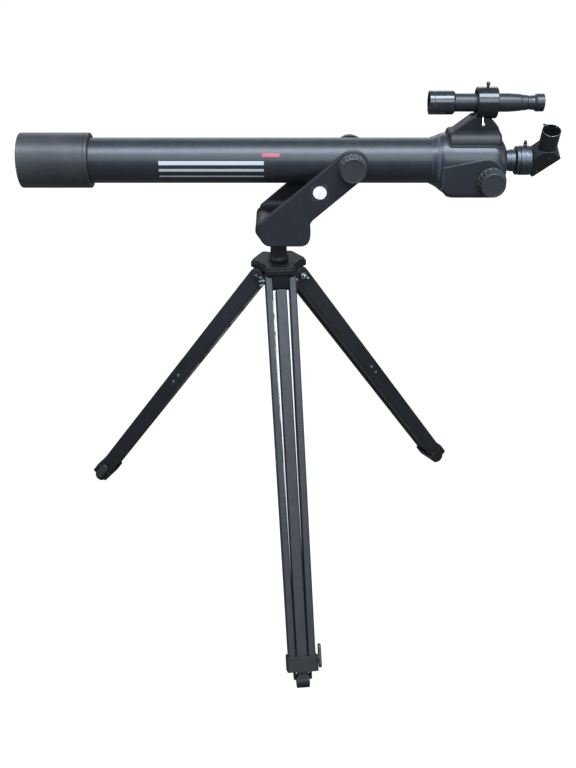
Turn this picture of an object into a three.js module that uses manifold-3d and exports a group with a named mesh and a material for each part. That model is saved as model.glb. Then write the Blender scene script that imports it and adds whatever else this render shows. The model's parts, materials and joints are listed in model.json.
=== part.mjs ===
// Small refracting telescope with a finder, on a fork mount and a folding three-legged stand.
// Millimetres, +Z up. The tube points along -X, and its eyepiece end is towards +X. Everything is
// drawn from the azimuth axis, and the finished telescope is then moved so that the origin is on
// the ground in the middle of its outline.
import * as THREE from "three";
import { mergeVertices } from "three/addons/utils/BufferGeometryUtils.js";
import Module from "manifold-3d";

const wasm = await Module();
wasm.setup();

// ---------- driving dimensions ----------
const GAP = 0.3; // clearance between neighbours that don't move on each other
const ROUND = 28; // facets of a large round
const TUBE_ROUND = 36; // facets of the tube and what fits round it
const SMALL_ROUND = 14; // facets of a small round

const TUBE_Z = 661; // height of the optical axis
const TUBE_R = 32;
const TUBE_WALL = 1.2;
const TUBE_FRONT = -308;
const TUBE_REAR = 232;

const DEW_R = 39;
const DEW_WALL = 1.8;
const DEW_FRONT = -370;
const DEW_REAR = -269.5;

const CELL_R = DEW_R - DEW_WALL - GAP;
const CELL_FRONT = -334;
const CELL_REAR = -276;
const LENS_R = 30;
const LENS_SAG = 2.2; // bulge of each curved lens face

const HOUSING_FRONT = 226;
const HOUSING_REAR = 326;
const HOUSING_WALL = 3;
const PANEL_Y = 41.5; // half distance between the flat side panels

const DRAW_R = 14.8;
const DRAW_WALL = 1.5;
const DRAW_FRONT = 246;
const DRAW_REAR = 345.7;
const PINION = { x: 302, z: -18, pitch: 4, module: 0.8, teeth: 10 };
const RACK_HALF_WIDTH = 3;
const RACK_TEETH = 21; // 18 of them ahead of the pinion at rest

const COLLAR_REAR = 363.5;
const COLLAR_R = 20.7;
const NOSE_R = 12.2;
const DIAGONAL_X = 383.5; // where the folded axis turns
const DIAGONAL_TURN = 90; // degrees from the drawtube's axis to the eyepiece's
const DIAGONAL_ROLL = 24; // degrees about the drawtube's axis, towards the near side
const DIAGONAL_HALF_WIDTH = 14.4;
const HOLDER_R = 13.2;
const HOLDER_END = 54; // along the turned axis

const FINDER_Z = 82.5; // above the optical axis
const FINDER_R = 12.6;
const FINDER_CELL_R = 16.4;
const FINDER_FRONT = 211.6;
const FINDER_REAR = 372.6;
const RING_R = 20.5;
const RING_WALL = 3.5;
const RING_FRONT = 280;
const RING_REAR = 305.5;

const PIVOT = { x: 105, z: 3 }; // altitude axis, from the optical axis above the origin
const ARM_R = 23; // round end and half width of a fork arm
const ARM_OUT = 45;
const ARM_IN = 37;
const ARM_ANGLE = 41.5; // rise of the arms, degrees
const FORK_BOTTOM = -115; // from the optical axis
const STUD_R = 4;

const HUB_TOP = 508.5;
const HUB_PLATE = 5;
const HUB_SKIRT = 11; // from the top to the skirt's lower edge
const LOBE_END = 38.5;
const LOBE_HALF = 23;
const LUG_HALF = 12.2;

const LEG_AZIMUTH = { front: -84.5, right: 35.5, left: 155.5 };
const LEG_PIVOT = { r: 27, z: 484 };
const FOOT = { r: 372, z: 9.5, radius: 10 }; // centre of the round foot
const RAIL = { width: 10.7, depth: 25, top: 12.6, foot: 8.8 }; // top and foot: inner face from centre
const INNER = { width: 16.4, depth: 21, top: -27 };
const RAIL_WALL = 1.5;
const BRACE_HOLES = [-256, -273]; // along the leg, where a spreader would screw on
const BOLT_R = 3;

const LEG_LENGTH = Math.hypot(FOOT.r - LEG_PIVOT.r, LEG_PIVOT.z - FOOT.z);
const LEG_SPLAY = Math.atan2(FOOT.r - LEG_PIVOT.r, LEG_PIVOT.z - FOOT.z);
const RAIL_END = 20 - LEG_LENGTH;
const CLAMP = { top: 36 - LEG_LENGTH, bottom: 14 - LEG_LENGTH, halfWidth: 22.4, halfDepth: 15.3 };
const LOCK = { at: 30.5 - LEG_LENGTH, r: 2.5 };

// ---------- materials ----------
const finish = (color, roughness, metalness) =>
  new THREE.MeshStandardMaterial({ color, roughness, metalness });
const look = {
  paint: () => finish(0x1b1e23, 0.38, 0.1),
  gloss: () => finish(0x15171b, 0.22, 0.1),
  plastic: () => finish(0x1d2024, 0.5, 0),
  knob: () => finish(0x22262a, 0.6, 0),
  rail: () => finish(0x39404a, 0.42, 0.5),
  steel: () => finish(0xb4b6b8, 0.3, 1),
  darkSteel: () => finish(0x3a3c40, 0.35, 0.9),
  brass: () => finish(0xa98f4e, 0.35, 1),
  foot: () => finish(0x24261f, 0.6, 0),
  glass: () => finish(0x9fb2c8, 0.05, 0),
  mirror: () => finish(0xc8ccd0, 0.03, 1),
};

// ---------- solids ----------
const rad = THREE.MathUtils.degToRad;

function solidOf(geometry) {
  const bare = geometry.clone();
  bare.deleteAttribute("normal");
  bare.deleteAttribute("uv");
  const merged = mergeVertices(bare, 1e-4);
  return new wasm.Manifold(
    new wasm.Mesh({
      numProp: 3,
      vertProperties: merged.attributes.position.array,
      triVerts: new Uint32Array(merged.index.array),
    }),
  );
}

function geometryOf(solid) {
  const mesh = solid.getMesh();
  const geometry = new THREE.BufferGeometry();
  geometry.setAttribute("position", new THREE.BufferAttribute(mesh.vertProperties, 3));
  geometry.setIndex(new THREE.BufferAttribute(mesh.triVerts, 1));
  return geometry;
}

function join(first, ...others) {
  return geometryOf(others.reduce((sum, g) => sum.add(solidOf(g)), solidOf(first)));
}

function cut(body, ...tools) {
  return geometryOf(tools.reduce((left, g) => left.subtract(solidOf(g)), solidOf(body)));
}

// A solid of revolution from [radius, height] points, which close on themselves or on the axis.
function turned(points, axis = "x", facets = ROUND) {
  let area = 0;
  points.forEach(([r, h], i) => {
    const [nextR, nextH] = points[(i + 1) % points.length];
    area += r * nextH - nextR * h;
  });
  const loop = [...points];
  if (points[0][0] > 0) loop.push(points[0]);
  if (area < 0) loop.reverse();
  const profile = loop.map(([r, h]) => new THREE.Vector2(r, h));
  const geometry = new THREE.LatheGeometry(profile, facets);
  if (axis === "x") geometry.rotateZ(-Math.PI / 2);
  if (axis === "z") geometry.rotateX(Math.PI / 2);
  return geometry;
}

const tube = (inner, outer, from, to, axis, facets) =>
  turned([[inner, from], [outer, from], [outer, to], [inner, to]], axis, facets);
const rod = (r, from, to, axis, facets = SMALL_ROUND) =>
  turned([[0, from], [r, from], [r, to], [0, to]], axis, facets);
const box = (x0, x1, y0, y1, z0, z1) =>
  new THREE.BoxGeometry(x1 - x0, y1 - y0, z1 - z0)
    .translate((x0 + x1) / 2, (y0 + y1) / 2, (z0 + z1) / 2);

const extrude = (shape, depth, curveSegments = 4) =>
  new THREE.ExtrudeGeometry(shape, { depth, bevelEnabled: false, curveSegments });

// A side outline in x and z, given thickness along y.
const sidePlate = (shape, y0, y1, curveSegments) =>
  extrude(shape, y1 - y0, curveSegments).rotateX(Math.PI / 2).translate(0, y1, 0);

// A plan outline in x and y, given thickness along z.
const floorPlate = (shape, z0, z1, curveSegments) =>
  extrude(shape, z1 - z0, curveSegments).translate(0, 0, z0);

// A cross-section in y and z, run along x.
function run(shape, x0, x1, curveSegments) {
  const turn = new THREE.Matrix4().makeBasis(
    new THREE.Vector3(0, 1, 0),
    new THREE.Vector3(0, 0, 1),
    new THREE.Vector3(1, 0, 0),
  );
  return extrude(shape, x1 - x0, curveSegments).applyMatrix4(turn).translate(x0, 0, 0);
}

function roundedRect(x0, x1, y0, y1, r) {
  const shape = new THREE.Shape();
  shape.moveTo(x0 + r, y0);
  shape.lineTo(x1 - r, y0);
  shape.absarc(x1 - r, y0 + r, r, -Math.PI / 2, 0);
  shape.lineTo(x1, y1 - r);
  shape.absarc(x1 - r, y1 - r, r, 0, Math.PI / 2);
  shape.lineTo(x0 + r, y1);
  shape.absarc(x0 + r, y1 - r, r, Math.PI / 2, Math.PI);
  shape.lineTo(x0, y0 + r);
  shape.absarc(x0 + r, y0 + r, r, Math.PI, 1.5 * Math.PI);
  return shape;
}

const polygon = (points) => new THREE.Shape(points.map(([x, y]) => new THREE.Vector2(x, y)));

// Rings of equal point count joined by a skin, with a fan over each end.
function loft(rings) {
  const n = rings[0].length;
  const middles = [rings[0], rings.at(-1)].map((ring) =>
    ring.reduce((sum, p) => sum.add(p), new THREE.Vector3()).divideScalar(n));
  const points = [...rings.flat(), ...middles];
  const faces = [];
  for (let i = 0; i < rings.length - 1; i++) {
    for (let j = 0; j < n; j++) {
      const [a, b] = [i * n + j, i * n + ((j + 1) % n)];
      faces.push(a, b, a + n, b, b + n, a + n);
    }
  }
  const last = (rings.length - 1) * n;
  for (let j = 0; j < n; j++) {
    const next = (j + 1) % n;
    faces.push(points.length - 2, next, j);
    faces.push(points.length - 1, last + j, last + next);
  }
  const geometry = new THREE.BufferGeometry().setFromPoints(points);
  geometry.setIndex(faces);
  return geometry;
}

function piece(name, geometry, material) {
  const mesh = new THREE.Mesh(geometry, material);
  mesh.name = name;
  return mesh;
}

// A round outline with shallow flutes.
function fluted(r, depth, count) {
  const points = [];
  for (let i = 0; i < count; i++) {
    for (const [turn, sink] of [[0, 0], [0.45, 0], [0.72, depth]]) {
      const angle = ((i + turn) / count) * 2 * Math.PI;
      points.push([(r - sink) * Math.cos(angle), (r - sink) * Math.sin(angle)]);
    }
  }
  return polygon(points);
}

// ---------- optical tube ----------
function mainTube() {
  const wall = tube(TUBE_R - TUBE_WALL, TUBE_R, TUBE_FRONT, TUBE_REAR, "x", TUBE_ROUND);
  const hole = rod(STUD_R + 2.3, -50, 50, "y").translate(PIVOT.x, 0, PIVOT.z);
  return piece("main_tube", cut(wall, hole), look.paint());
}

function dewShield() {
  const inner = DEW_R - DEW_WALL;
  const lip = 3;
  const profile = [[DEW_R - lip, DEW_FRONT]];
  for (let i = 0; i <= 2; i++) {
    const angle = (i / 2) * (Math.PI / 2);
    profile.push([
      DEW_R - lip + lip * Math.sin(angle),
      DEW_FRONT + lip - lip * Math.cos(angle),
    ]);
  }
  profile.shift();
  profile.push([DEW_R, DEW_REAR - 1], [DEW_R - 1, DEW_REAR], [TUBE_R + 0.6, DEW_REAR]);
  profile.push([TUBE_R + 0.6, DEW_REAR - 3], [inner, DEW_REAR - 3]);
  profile.push([inner, DEW_FRONT + 4], [DEW_R - lip, DEW_FRONT + 2]);
  return piece("dew_shield", turned(profile, "x", TUBE_ROUND), look.gloss());
}

function objectiveCell() {
  const seat = LENS_R + 0.4;
  const profile = [
    [33.3, CELL_FRONT], [CELL_R, CELL_FRONT], [CELL_R, CELL_REAR], [TUBE_R + GAP, CELL_REAR],
    [TUBE_R + GAP, TUBE_FRONT - 1], [28, TUBE_FRONT - 1], [28, -314.5], [seat, -314.5],
    [seat, -327], [33.3, -327],
  ];
  return piece("objective_cell", turned(profile), look.plastic());
}

// Points over a lens face, from the edge to the axis or back.
function lensFace(edge, bulge, r = LENS_R, steps = 2) {
  const points = [];
  for (let i = 0; i <= steps; i++) {
    const t = 1 - i / steps;
    points.push([r * t, edge + bulge * (1 - t * t)]);
  }
  return points;
}

function lens(name, front, frontBulge, rear, rearBulge, r) {
  const profile = [...lensFace(front, frontBulge, r).reverse(), ...lensFace(rear, rearBulge, r)];
  return piece(name, turned(profile, "x", 20), look.glass());
}

function objective() {
  const crownFront = -326.6;
  const crownRear = -323.4;
  return [
    objectiveCell(),
    lens("objective_crown", crownFront, -LENS_SAG, crownRear, LENS_SAG),
    lens("objective_flint", crownRear + GAP, LENS_SAG, -314.9, -0.6),
    piece("lens_ring", tube(28, 33, -333, -327.3, "x"), look.plastic()),
  ];
}

function pivotInsert(name, side) {
  const outer = side * (ARM_IN - GAP);
  const inner = side * 27;
  const flange = side * (TUBE_R + 0.4);
  const [a, b, c] = [inner, flange, outer];
  const profile = [[STUD_R + 0.05, a], [STUD_R + 2, a], [STUD_R + 2, b], [9, b], [9, c]];
  profile.push([STUD_R + 0.05, c]);
  const body = turned(profile, "y", 24).translate(PIVOT.x, 0, PIVOT.z);
  return piece(name, body, look.plastic());
}

// ---------- focuser ----------
// One cross-section of the housing: round above, deeper and squarer below.
function housingRing(x, half, top, bottom, square, grow) {
  const ring = [];
  const count = grow < 0 ? 20 : 28;
  for (let i = 0; i < count; i++) {
    const angle = (i / count) * 2 * Math.PI;
    const [c, s] = [Math.cos(angle), Math.sin(angle)];
    const power = s < 0 ? 2 / square : 1;
    const y = Math.sign(c) * Math.abs(c) ** power * (half + grow);
    const z = Math.sign(s) * Math.abs(s) ** power * ((s < 0 ? bottom : top) + grow);
    ring.push(new THREE.Vector3(x, y, z));
  }
  return ring;
}

const HOUSING_STATIONS = [
  // x, half width, top, bottom, squareness below
  [HOUSING_FRONT, 33.6, 33.6, 33.6, 2],
  [231, 34.8, 35.6, 37, 2.2],
  [239, 38.6, 38.4, 44, 3.2],
  [246, 39.6, 38.4, 45.5, 4],
  [306, 39.6, 38, 45.5, 4],
  [314, 38.6, 35.6, 43.5, 3.6],
  [321, 35, 30, 39, 3],
  [HOUSING_REAR, 28, 20, 31, 2.6],
];

function housingSkin(grow, from = -Infinity, to = Infinity) {
  const kept = HOUSING_STATIONS.filter(([x]) => x >= from && x <= to);
  return loft(kept.map(([x, half, top, bottom, square]) =>
    housingRing(x, half, top, bottom, square, grow)));
}

function sidePanels() {
  const shape = new THREE.Shape();
  shape.moveTo(236, -38);
  shape.lineTo(236, 3.5);
  shape.lineTo(282, 13.5);
  shape.quadraticCurveTo(310, 16, 319, -4);
  shape.lineTo(319, -26);
  shape.quadraticCurveTo(318, -38, 306, -38);
  return [sidePlate(shape, -PANEL_Y, -30, 5), sidePlate(shape, 30, PANEL_Y, 5)];
}

function focuserHousing() {
  const outer = join(housingSkin(0), ...sidePanels());
  const hollow = housingSkin(-HOUSING_WALL, 231, 321);
  const mouth = rod(TUBE_R + GAP, HOUSING_FRONT - 1, 240, "x", TUBE_ROUND);
  const guide = tube(DRAW_R + 0.3, DRAW_R + 4, 270, 322, "x", 32);
  const bore = rod(DRAW_R + 0.3, 265, HOUSING_REAR + 1, "x", 32);
  const window = box(PINION.x - 7, PINION.x + 7, -5, 5, -26, -8);
  const shaftHole = rod(2.6, -60, 60, "y").translate(PINION.x, 0, PINION.z);
  const shell = join(cut(outer, hollow, mouth), guide);
  return piece("focuser_housing", cut(shell, bore, window, shaftHole), look.plastic());
}

function drawtube() {
  const wall = tube(DRAW_R - DRAW_WALL, DRAW_R, DRAW_FRONT, DRAW_REAR, "x", 28);
  const slot = box(DRAW_FRONT + 4, DRAW_REAR - 10, -RACK_HALF_WIDTH - GAP, RACK_HALF_WIDTH + GAP, -20, -10);
  return piece("drawtube", cut(wall, slot), look.darkSteel());
}

// Straight-sided teeth, in mesh with the pinion at the bottom of the drawtube.
function focusRack() {
  const pitch = Math.PI * PINION.module;
  const line = PINION.z + PINION.pitch;
  const [tip, root, back] = [line - 0.7, line + 0.9, line + 2.6];
  const first = PINION.x - pitch * 18;
  const shape = new THREE.Shape();
  shape.moveTo(first - pitch / 2, back);
  shape.lineTo(first - pitch / 2, root);
  for (let i = 0; i <= RACK_TEETH; i++) {
    const x = first + i * pitch;
    shape.lineTo(x - pitch * 0.31, root);
    shape.lineTo(x - pitch * 0.09, tip);
    shape.lineTo(x + pitch * 0.09, tip);
    shape.lineTo(x + pitch * 0.31, root);
  }
  shape.lineTo(first + pitch * (RACK_TEETH + 0.5), root);
  shape.lineTo(first + pitch * (RACK_TEETH + 0.5), back);
  const bar = sidePlate(shape, -RACK_HALF_WIDTH, RACK_HALF_WIDTH);
  return piece("focus_rack", bar, look.brass());
}

// The pinion turns a tooth space towards the rack at rest.
function pinionShaft() {
  const points = [];
  for (let i = 0; i < PINION.teeth; i++) {
    const middle = rad(90) + ((i + 0.5) / PINION.teeth) * 2 * Math.PI;
    for (const [r, half] of [[3.05, -0.2], [4.6, -0.06], [4.6, 0.06], [3.05, 0.2]]) {
      points.push([r * Math.cos(middle + half), r * Math.sin(middle + half)]);
    }
  }
  const gear = sidePlate(polygon(points), -2.7, 2.7);
  const shaft = rod(2.4, -50, 50, "y", 16);
  return piece("pinion_shaft", join(gear, shaft).translate(PINION.x, 0, PINION.z), look.brass());
}

// A fluted knob whose back is towards the origin along y, bored for its shaft or carrying a stud.
function knobBody(side, back, skirt, face, backR, faceR, flutes) {
  const near = Math.min(side * back, side * skirt);
  const rim = sidePlate(fluted(backR, 0.9, flutes), near, near + skirt - back);
  const cap = turned(
    [[0, side * back], [faceR, side * back], [faceR, side * (face - 1)],
      [faceR - 1, side * face], [0, side * face]],
    "y",
    24,
  );
  return join(rim, cap);
}

function focusKnob(name, side) {
  const body = knobBody(side, 43.5, 57, 62.5, 18.6, 16.8, 16);
  const bore = rod(2.7, Math.min(0, side * 51), Math.max(0, side * 51), "y", 16);
  return piece(name, cut(body, bore).translate(PINION.x, 0, PINION.z), look.knob());
}

function eyepieceCollar() {
  const inner = DRAW_R + 0.2;
  const socket = NOSE_R + 0.25;
  const profile = [
    [inner, 334], [inner + 1, 334], [20.5, 341], [20.5, 344.5], [18.8, 344.5], [18.8, 347],
    [COLLAR_R, 347], [COLLAR_R, 362], [COLLAR_R - 1.5, COLLAR_REAR], [socket, COLLAR_REAR],
    [socket, DRAW_REAR + GAP], [inner, DRAW_REAR + GAP],
  ];
  const hole = rod(2, 0, 30, "z", 12).translate(354, 0, 0);
  return piece("eyepiece_collar", cut(turned(profile, "x", 28), hole), look.darkSteel());
}

// A small screw that points down its own z axis, with its shank's tip at zero.
function thumbScrew(name, shankR, shank, headR, head, material) {
  const profile = [
    [0, 0], [shankR, 0], [shankR, shank], [headR, shank + 0.8], [headR, shank + head - 0.8],
    [headR - 0.8, shank + head], [0, shank + head],
  ];
  return piece(name, turned(profile, "z", 16), material);
}

function collarScrew() {
  const screw = thumbScrew("collar_screw", 1.7, 9, 2.9, 7.5, look.darkSteel());
  screw.position.set(354, 0, NOSE_R + 0.3);
  return screw;
}

// ---------- diagonal ----------
// Moves a piece drawn up the z axis onto the turned axis of the diagonal.
function ontoHolder(geometry) {
  return geometry.rotateY(rad(90 - DIAGONAL_TURN)).translate(DIAGONAL_X, 0, 0);
}

function mirrorPlate(length, half, from, to) {
  return box(-length / 2, length / 2, -half, half, from, to)
    .rotateY(-rad(DIAGONAL_TURN / 2))
    .translate(DIAGONAL_X, 0, 0);
}

function diagonalHousing() {
  const outline = polygon([
    [364.2, 15], [373.5, 24.5], [376, 26], [390.5, 26], [402.5, 15], [368.5, -19], [364.2, -15.5],
  ]);
  const body = sidePlate(outline, -DIAGONAL_HALF_WIDTH, DIAGONAL_HALF_WIDTH);
  const entry = rod(10.6, 360, DIAGONAL_X, "x");
  const socket = rod(NOSE_R + GAP, 360, 372, "x", 24);
  const exit = ontoHolder(rod(10.6, -3, 40, "z"));
  const holderSeat = ontoHolder(rod(HOLDER_R + GAP, 12, 40, "z", 32));
  const lightPath = cut(join(entry, exit), mirrorPlate(80, 30, -60, 0));
  const pocket = mirrorPlate(32, 12.4, -2, 1);
  const geometry = cut(body, lightPath, socket, holderSeat, pocket);
  return piece("diagonal_housing", geometry, look.plastic());
}

function eyepieceHolder() {
  const wall = ontoHolder(tube(12.35, HOLDER_R, 12.3, HOLDER_END, "z", 28));
  return piece("eyepiece_holder", cut(wall, holderScrewHole()), look.plastic());
}

const HOLDER_SCREW = { at: 50, turn: 112 }; // along the axis, and round it from +X

function holderScrewHole() {
  const hole = rod(1.9, 6, 20, "x", 12).rotateZ(rad(HOLDER_SCREW.turn));
  return ontoHolder(hole.translate(0, 0, HOLDER_SCREW.at));
}

function holderScrew() {
  const profile = [[0, 12.4], [1.6, 12.4], [1.6, 14.6], [2.6, 14.6], [2.6, 20.5], [0, 20.5]];
  const screw = turned(profile, "x", 12).rotateZ(rad(HOLDER_SCREW.turn));
  const placed = ontoHolder(screw.translate(0, 0, HOLDER_SCREW.at));
  return piece("holder_screw", placed, look.darkSteel());
}

function diagonal() {
  const rolled = new THREE.Group();
  rolled.rotation.x = rad(DIAGONAL_ROLL);
  rolled.add(
    piece("diagonal_nose", tube(11, NOSE_R, 349, 371.6, "x", 32), look.darkSteel()),
    diagonalHousing(),
    piece("diagonal_mirror", mirrorPlate(30, 12, -1.7, -0.2), look.mirror()),
    eyepieceHolder(),
    holderScrew(),
  );
  return rolled;
}

// ---------- finder ----------
// Each screw's place along the tube, its turn round the finder from +Y and where its head starts.
const FINDER_SCREWS = {
  top: { x: 292.75, turn: 90, head: RING_R + 3 },
  near: { x: 287, turn: 231, head: RING_R + 10.5 },
  far: { x: 287, turn: -51, head: RING_R + 10.5 },
};

function finderBracket() {
  const foot = run(roundedRect(-27, 27, 12, 45, 16), 241, 316, 4);
  const rib = sidePlate(polygon([[246, 42], [279, 64], [303, 64], [315, 42]]), -12, 12);
  const ring = tube(RING_R - RING_WALL, RING_R, RING_FRONT, RING_REAR, "x", 28);
  const inside = rod(RING_R - RING_WALL, RING_FRONT - 5, RING_REAR + 5, "x", 28);
  const holes = Object.values(FINDER_SCREWS).map((place) => aimed(rod(1.8, 10, 44, "z", 12), place));
  const body = cut(join(foot, rib), housingSkin(GAP));
  const moulding = join(body, ring.translate(0, 0, FINDER_Z));
  return piece("finder_bracket", cut(moulding, inside.translate(0, 0, FINDER_Z), ...holes), look.gloss());
}

// Turns a piece drawn up the z axis round the finder's axis.
function aimed(geometry, { x, turn }) {
  return geometry.rotateX(rad(turn - 90)).translate(x, 0, FINDER_Z);
}

function finderScrew(side, place) {
  const tip = FINDER_R + 0.5;
  const { head } = place;
  const profile = [
    [0, tip], [1.5, tip], [1.5, head], [2.4, head + 0.4], [2.9, head + 2.2], [2.4, head + 4.2],
    [0, head + 5],
  ];
  const material = side === "top" ? look.darkSteel() : look.steel();
  return piece("finder_screw_" + side, aimed(turned(profile, "z", 12), place), material);
}

function finder() {
  const barrel = [
    [10.9, 244], [FINDER_R, 244], [FINDER_R, 330], [11.6, 341], [10.3, 349],
    [8.6, 349], [8.6, 340], [10.9, 330],
  ];
  const cell = [
    [14.6, FINDER_FRONT], [FINDER_CELL_R - 0.6, FINDER_FRONT], [FINDER_CELL_R, FINDER_FRONT + 0.8],
    [FINDER_CELL_R, 245], [FINDER_R + 1.6, 247.5], [FINDER_R + GAP, 247.5],
    [FINDER_R + GAP, 243.5], [10.9, 243.5], [10.9, 238], [14.6, 238],
  ];
  const eyepiece = [
    [5, 349.3], [9.8, 349.3], [9.8, 359.5],
    [12.2, 361.5], [12.2, FINDER_REAR - 0.8], [11.4, FINDER_REAR], [9, FINDER_REAR],
    [6.6, 367], [6.6, 362], [5, 362],
  ];
  const parts = [
    piece("finder_tube", turned(barrel, "x", 24), look.paint()),
    piece("finder_cell", turned(cell, "x", 24), look.gloss()),
    lens("finder_lens", 233.6, -1, 237.7, -0.4, 14.2),
    piece("finder_eyepiece", turned(eyepiece, "x", 24), look.gloss()),
    lens("finder_eye_lens", 362.4, -0.2, 364.4, 0.6, 6.3),
  ];
  parts.forEach((part) => part.geometry.translate(0, 0, FINDER_Z));
  return parts;
}

// ---------- fork ----------
// Side outline of an arm and the box below it, in x and z from the optical axis.
function forkOutline() {
  const rise = rad(ARM_ANGLE);
  const shape = new THREE.Shape();
  const upper = rise + Math.PI / 2;
  shape.absarc(PIVOT.x, PIVOT.z, ARM_R, rise - Math.PI / 2, upper);
  shape.lineTo(-25.5, -81.8);
  shape.quadraticCurveTo(-28.5, -85, -28.5, -89);
  shape.quadraticCurveTo(-27, -104, -18, -112);
  shape.quadraticCurveTo(-14, FORK_BOTTOM, -8, FORK_BOTTOM);
  shape.lineTo(34, FORK_BOTTOM);
  shape.quadraticCurveTo(47, FORK_BOTTOM, 47, -103);
  shape.lineTo(46.5, -86);
  shape.quadraticCurveTo(46, -80, 50, -76.4);
  shape.closePath();
  return shape;
}

function forkYoke() {
  const body = sidePlate(forkOutline(), -ARM_OUT, ARM_OUT, 7);
  const trough = run(roundedRect(-ARM_IN, ARM_IN, -84, 60, 13), -60, 160, 4);
  const pocket = join(
    box(-18, 38, -38, 38, FORK_BOTTOM - 5, -92),
    box(-12, 38, -38, 38, FORK_BOTTOM - 5, -90),
  );
  const column = rod(14, FORK_BOTTOM, -85, "z", 24);
  const bottom = HUB_TOP + GAP - TUBE_Z;
  const neck = turned(
    [[0, bottom], [15, bottom], [15, bottom + 2.5], [13.4, bottom + 6], [12.5, bottom + 13],
      [12.5, FORK_BOTTOM + 4], [0, FORK_BOTTOM + 4]],
    "z",
    24,
  );
  const studs = rod(STUD_R + 0.4, -60, 60, "y").translate(PIVOT.x, 0, PIVOT.z);
  const bore = rod(STUD_R + 0.3, bottom - 1, -100, "z");
  const shell = cut(body, trough, pocket);
  return piece("fork_yoke", cut(join(shell, column, neck), studs, bore), look.plastic());
}

function altitudeKnob(name, side) {
  const back = ARM_OUT + 0.5;
  const body = knobBody(side, back, 59, 64, 20.6, 18.2, 16);
  const [from, to] = [28, back + 2].map((y) => side * y).sort((a, b) => a - b);
  const stud = rod(STUD_R - 0.05, from, to, "y");
  return piece(name, join(body, stud).translate(PIVOT.x, 0, PIVOT.z), look.knob());
}

// ---------- tripod head ----------
function hubOutline(inset) {
  const lobes = Object.values(LEG_AZIMUTH).map((azimuth) =>
    floorPlate(
      roundedRect(-10, LOBE_END - inset, -LOBE_HALF + inset, LOBE_HALF - inset, 7),
      0,
      1,
      2,
    ).rotateZ(rad(azimuth)));
  return join(rod(33 - inset, 0, 1, "z", 24), ...lobes);
}

const slab = (geometry, z0, z1) => geometry.scale(1, 1, z1 - z0).translate(0, 0, z0);

function tripodHub() {
  const plate = slab(hubOutline(0), HUB_TOP - HUB_SKIRT, HUB_TOP);
  const hollow = slab(hubOutline(3), HUB_TOP - HUB_SKIRT - 1, HUB_TOP - HUB_PLATE);
  const boss = rod(15, 474, HUB_TOP - 2, "z", 24);
  const lugs = Object.values(LEG_AZIMUTH).map((azimuth) => {
    const side = new THREE.Shape();
    side.moveTo(4, HUB_TOP - 2);
    side.lineTo(4, 476);
    side.quadraticCurveTo(4, 470.5, 12, 470.5);
    side.lineTo(30, 470.5);
    side.quadraticCurveTo(36.5, 470.5, 36.5, 477);
    side.lineTo(36.5, HUB_TOP - 2);
    return sidePlate(side, -LUG_HALF, LUG_HALF, 3).rotateZ(rad(azimuth));
  });
  const bolts = Object.values(LEG_AZIMUTH).map((azimuth) =>
    rod(BOLT_R + 0.3, -30, 30, "y").translate(LEG_PIVOT.r, 0, LEG_PIVOT.z).rotateZ(rad(azimuth)));
  const bore = rod(STUD_R + 0.3, 460, HUB_TOP + 5, "z");
  const body = join(cut(plate, hollow), boss, ...lugs);
  return piece("tripod_hub", cut(body, bore, ...bolts), look.plastic());
}

function azimuthBolt() {
  const head = turned(
    [[0, 463], [7.5, 463], [7.5, 470], [STUD_R, 473.6], [STUD_R, 552], [0, 552]],
    "z",
    24,
  );
  return piece("azimuth_bolt", head, look.steel());
}

// ---------- legs ----------
// In a leg's own frame the hinge is the origin, z runs up the leg, x faces outwards and y is
// the right-hand side of someone who looks at the leg from outside.
function railShape(width, depth, corner) {
  return roundedRect(-depth / 2, depth / 2, -width / 2, width / 2, corner);
}

function outerRail(side) {
  const { width, depth, top, foot } = RAIL;
  const half = depth / 2;
  const straight = floorPlate(railShape(width, depth, 2.5), RAIL_END, 0, 2);
  const cap = rod(half, -width / 2, width / 2, "y", 16);
  const [insideX, insideY] = [half - RAIL_WALL, width / 2 - RAIL_WALL];
  const hollow = box(-insideX, insideX, -insideY, insideY, RAIL_END - 1, -half - 8);
  const holes = BRACE_HOLES.map((z) => rod(2.2, -20, 20, "y", 6).translate(0, 0, z));
  holes.push(rod(BOLT_R + 0.3, -20, 20, "y", 10));
  if (side > 0) holes.push(rod(LOCK.r + 0.3, -20, 20, "y", 8).translate(0, 0, LOCK.at));
  const lean = Math.atan2(top - foot, -RAIL_END);
  return cut(join(straight, cap), hollow, ...holes)
    .rotateX(-side * lean)
    .translate(0, side * (top + width / 2), 0);
}

function innerRail() {
  const { width, depth, top } = INNER;
  const bottom = 11.7 - LEG_LENGTH;
  const [insideX, insideY] = [depth / 2 - RAIL_WALL, width / 2 - RAIL_WALL];
  const hollow = box(-insideX, insideX, -insideY, insideY, bottom + 8, top + 1);
  return cut(floorPlate(railShape(width, depth, 2), bottom, top, 2), hollow);
}

function clampBracket() {
  const { top, bottom, halfWidth, halfDepth } = CLAMP;
  const body = floorPlate(roundedRect(-halfDepth, halfDepth, -halfWidth, halfWidth, 3), bottom, top, 2);
  const railPocket = box(-12.9, 12.9, -20.4, 20.4, RAIL_END - GAP, top + 1);
  const through = box(-10.9, 10.9, -8.6, 8.6, bottom - 1, top);
  const hole = rod(LOCK.r + 0.3, 0, 40, "y", 12).translate(0, 0, LOCK.at);
  const ears = [-1, 1].map((side) => {
    const shape = new THREE.Shape();
    shape.moveTo(-11, bottom + 3);
    shape.lineTo(-7, 4 - LEG_LENGTH);
    shape.quadraticCurveTo(0, -2 - LEG_LENGTH, 7, 4 - LEG_LENGTH);
    shape.lineTo(11, bottom + 3);
    const [from, to] = [10, 13].map((y) => side * y).sort((a, b) => a - b);
    return sidePlate(shape, from, to, 3);
  });
  return cut(join(body, ...ears), railPocket, through, hole);
}

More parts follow.
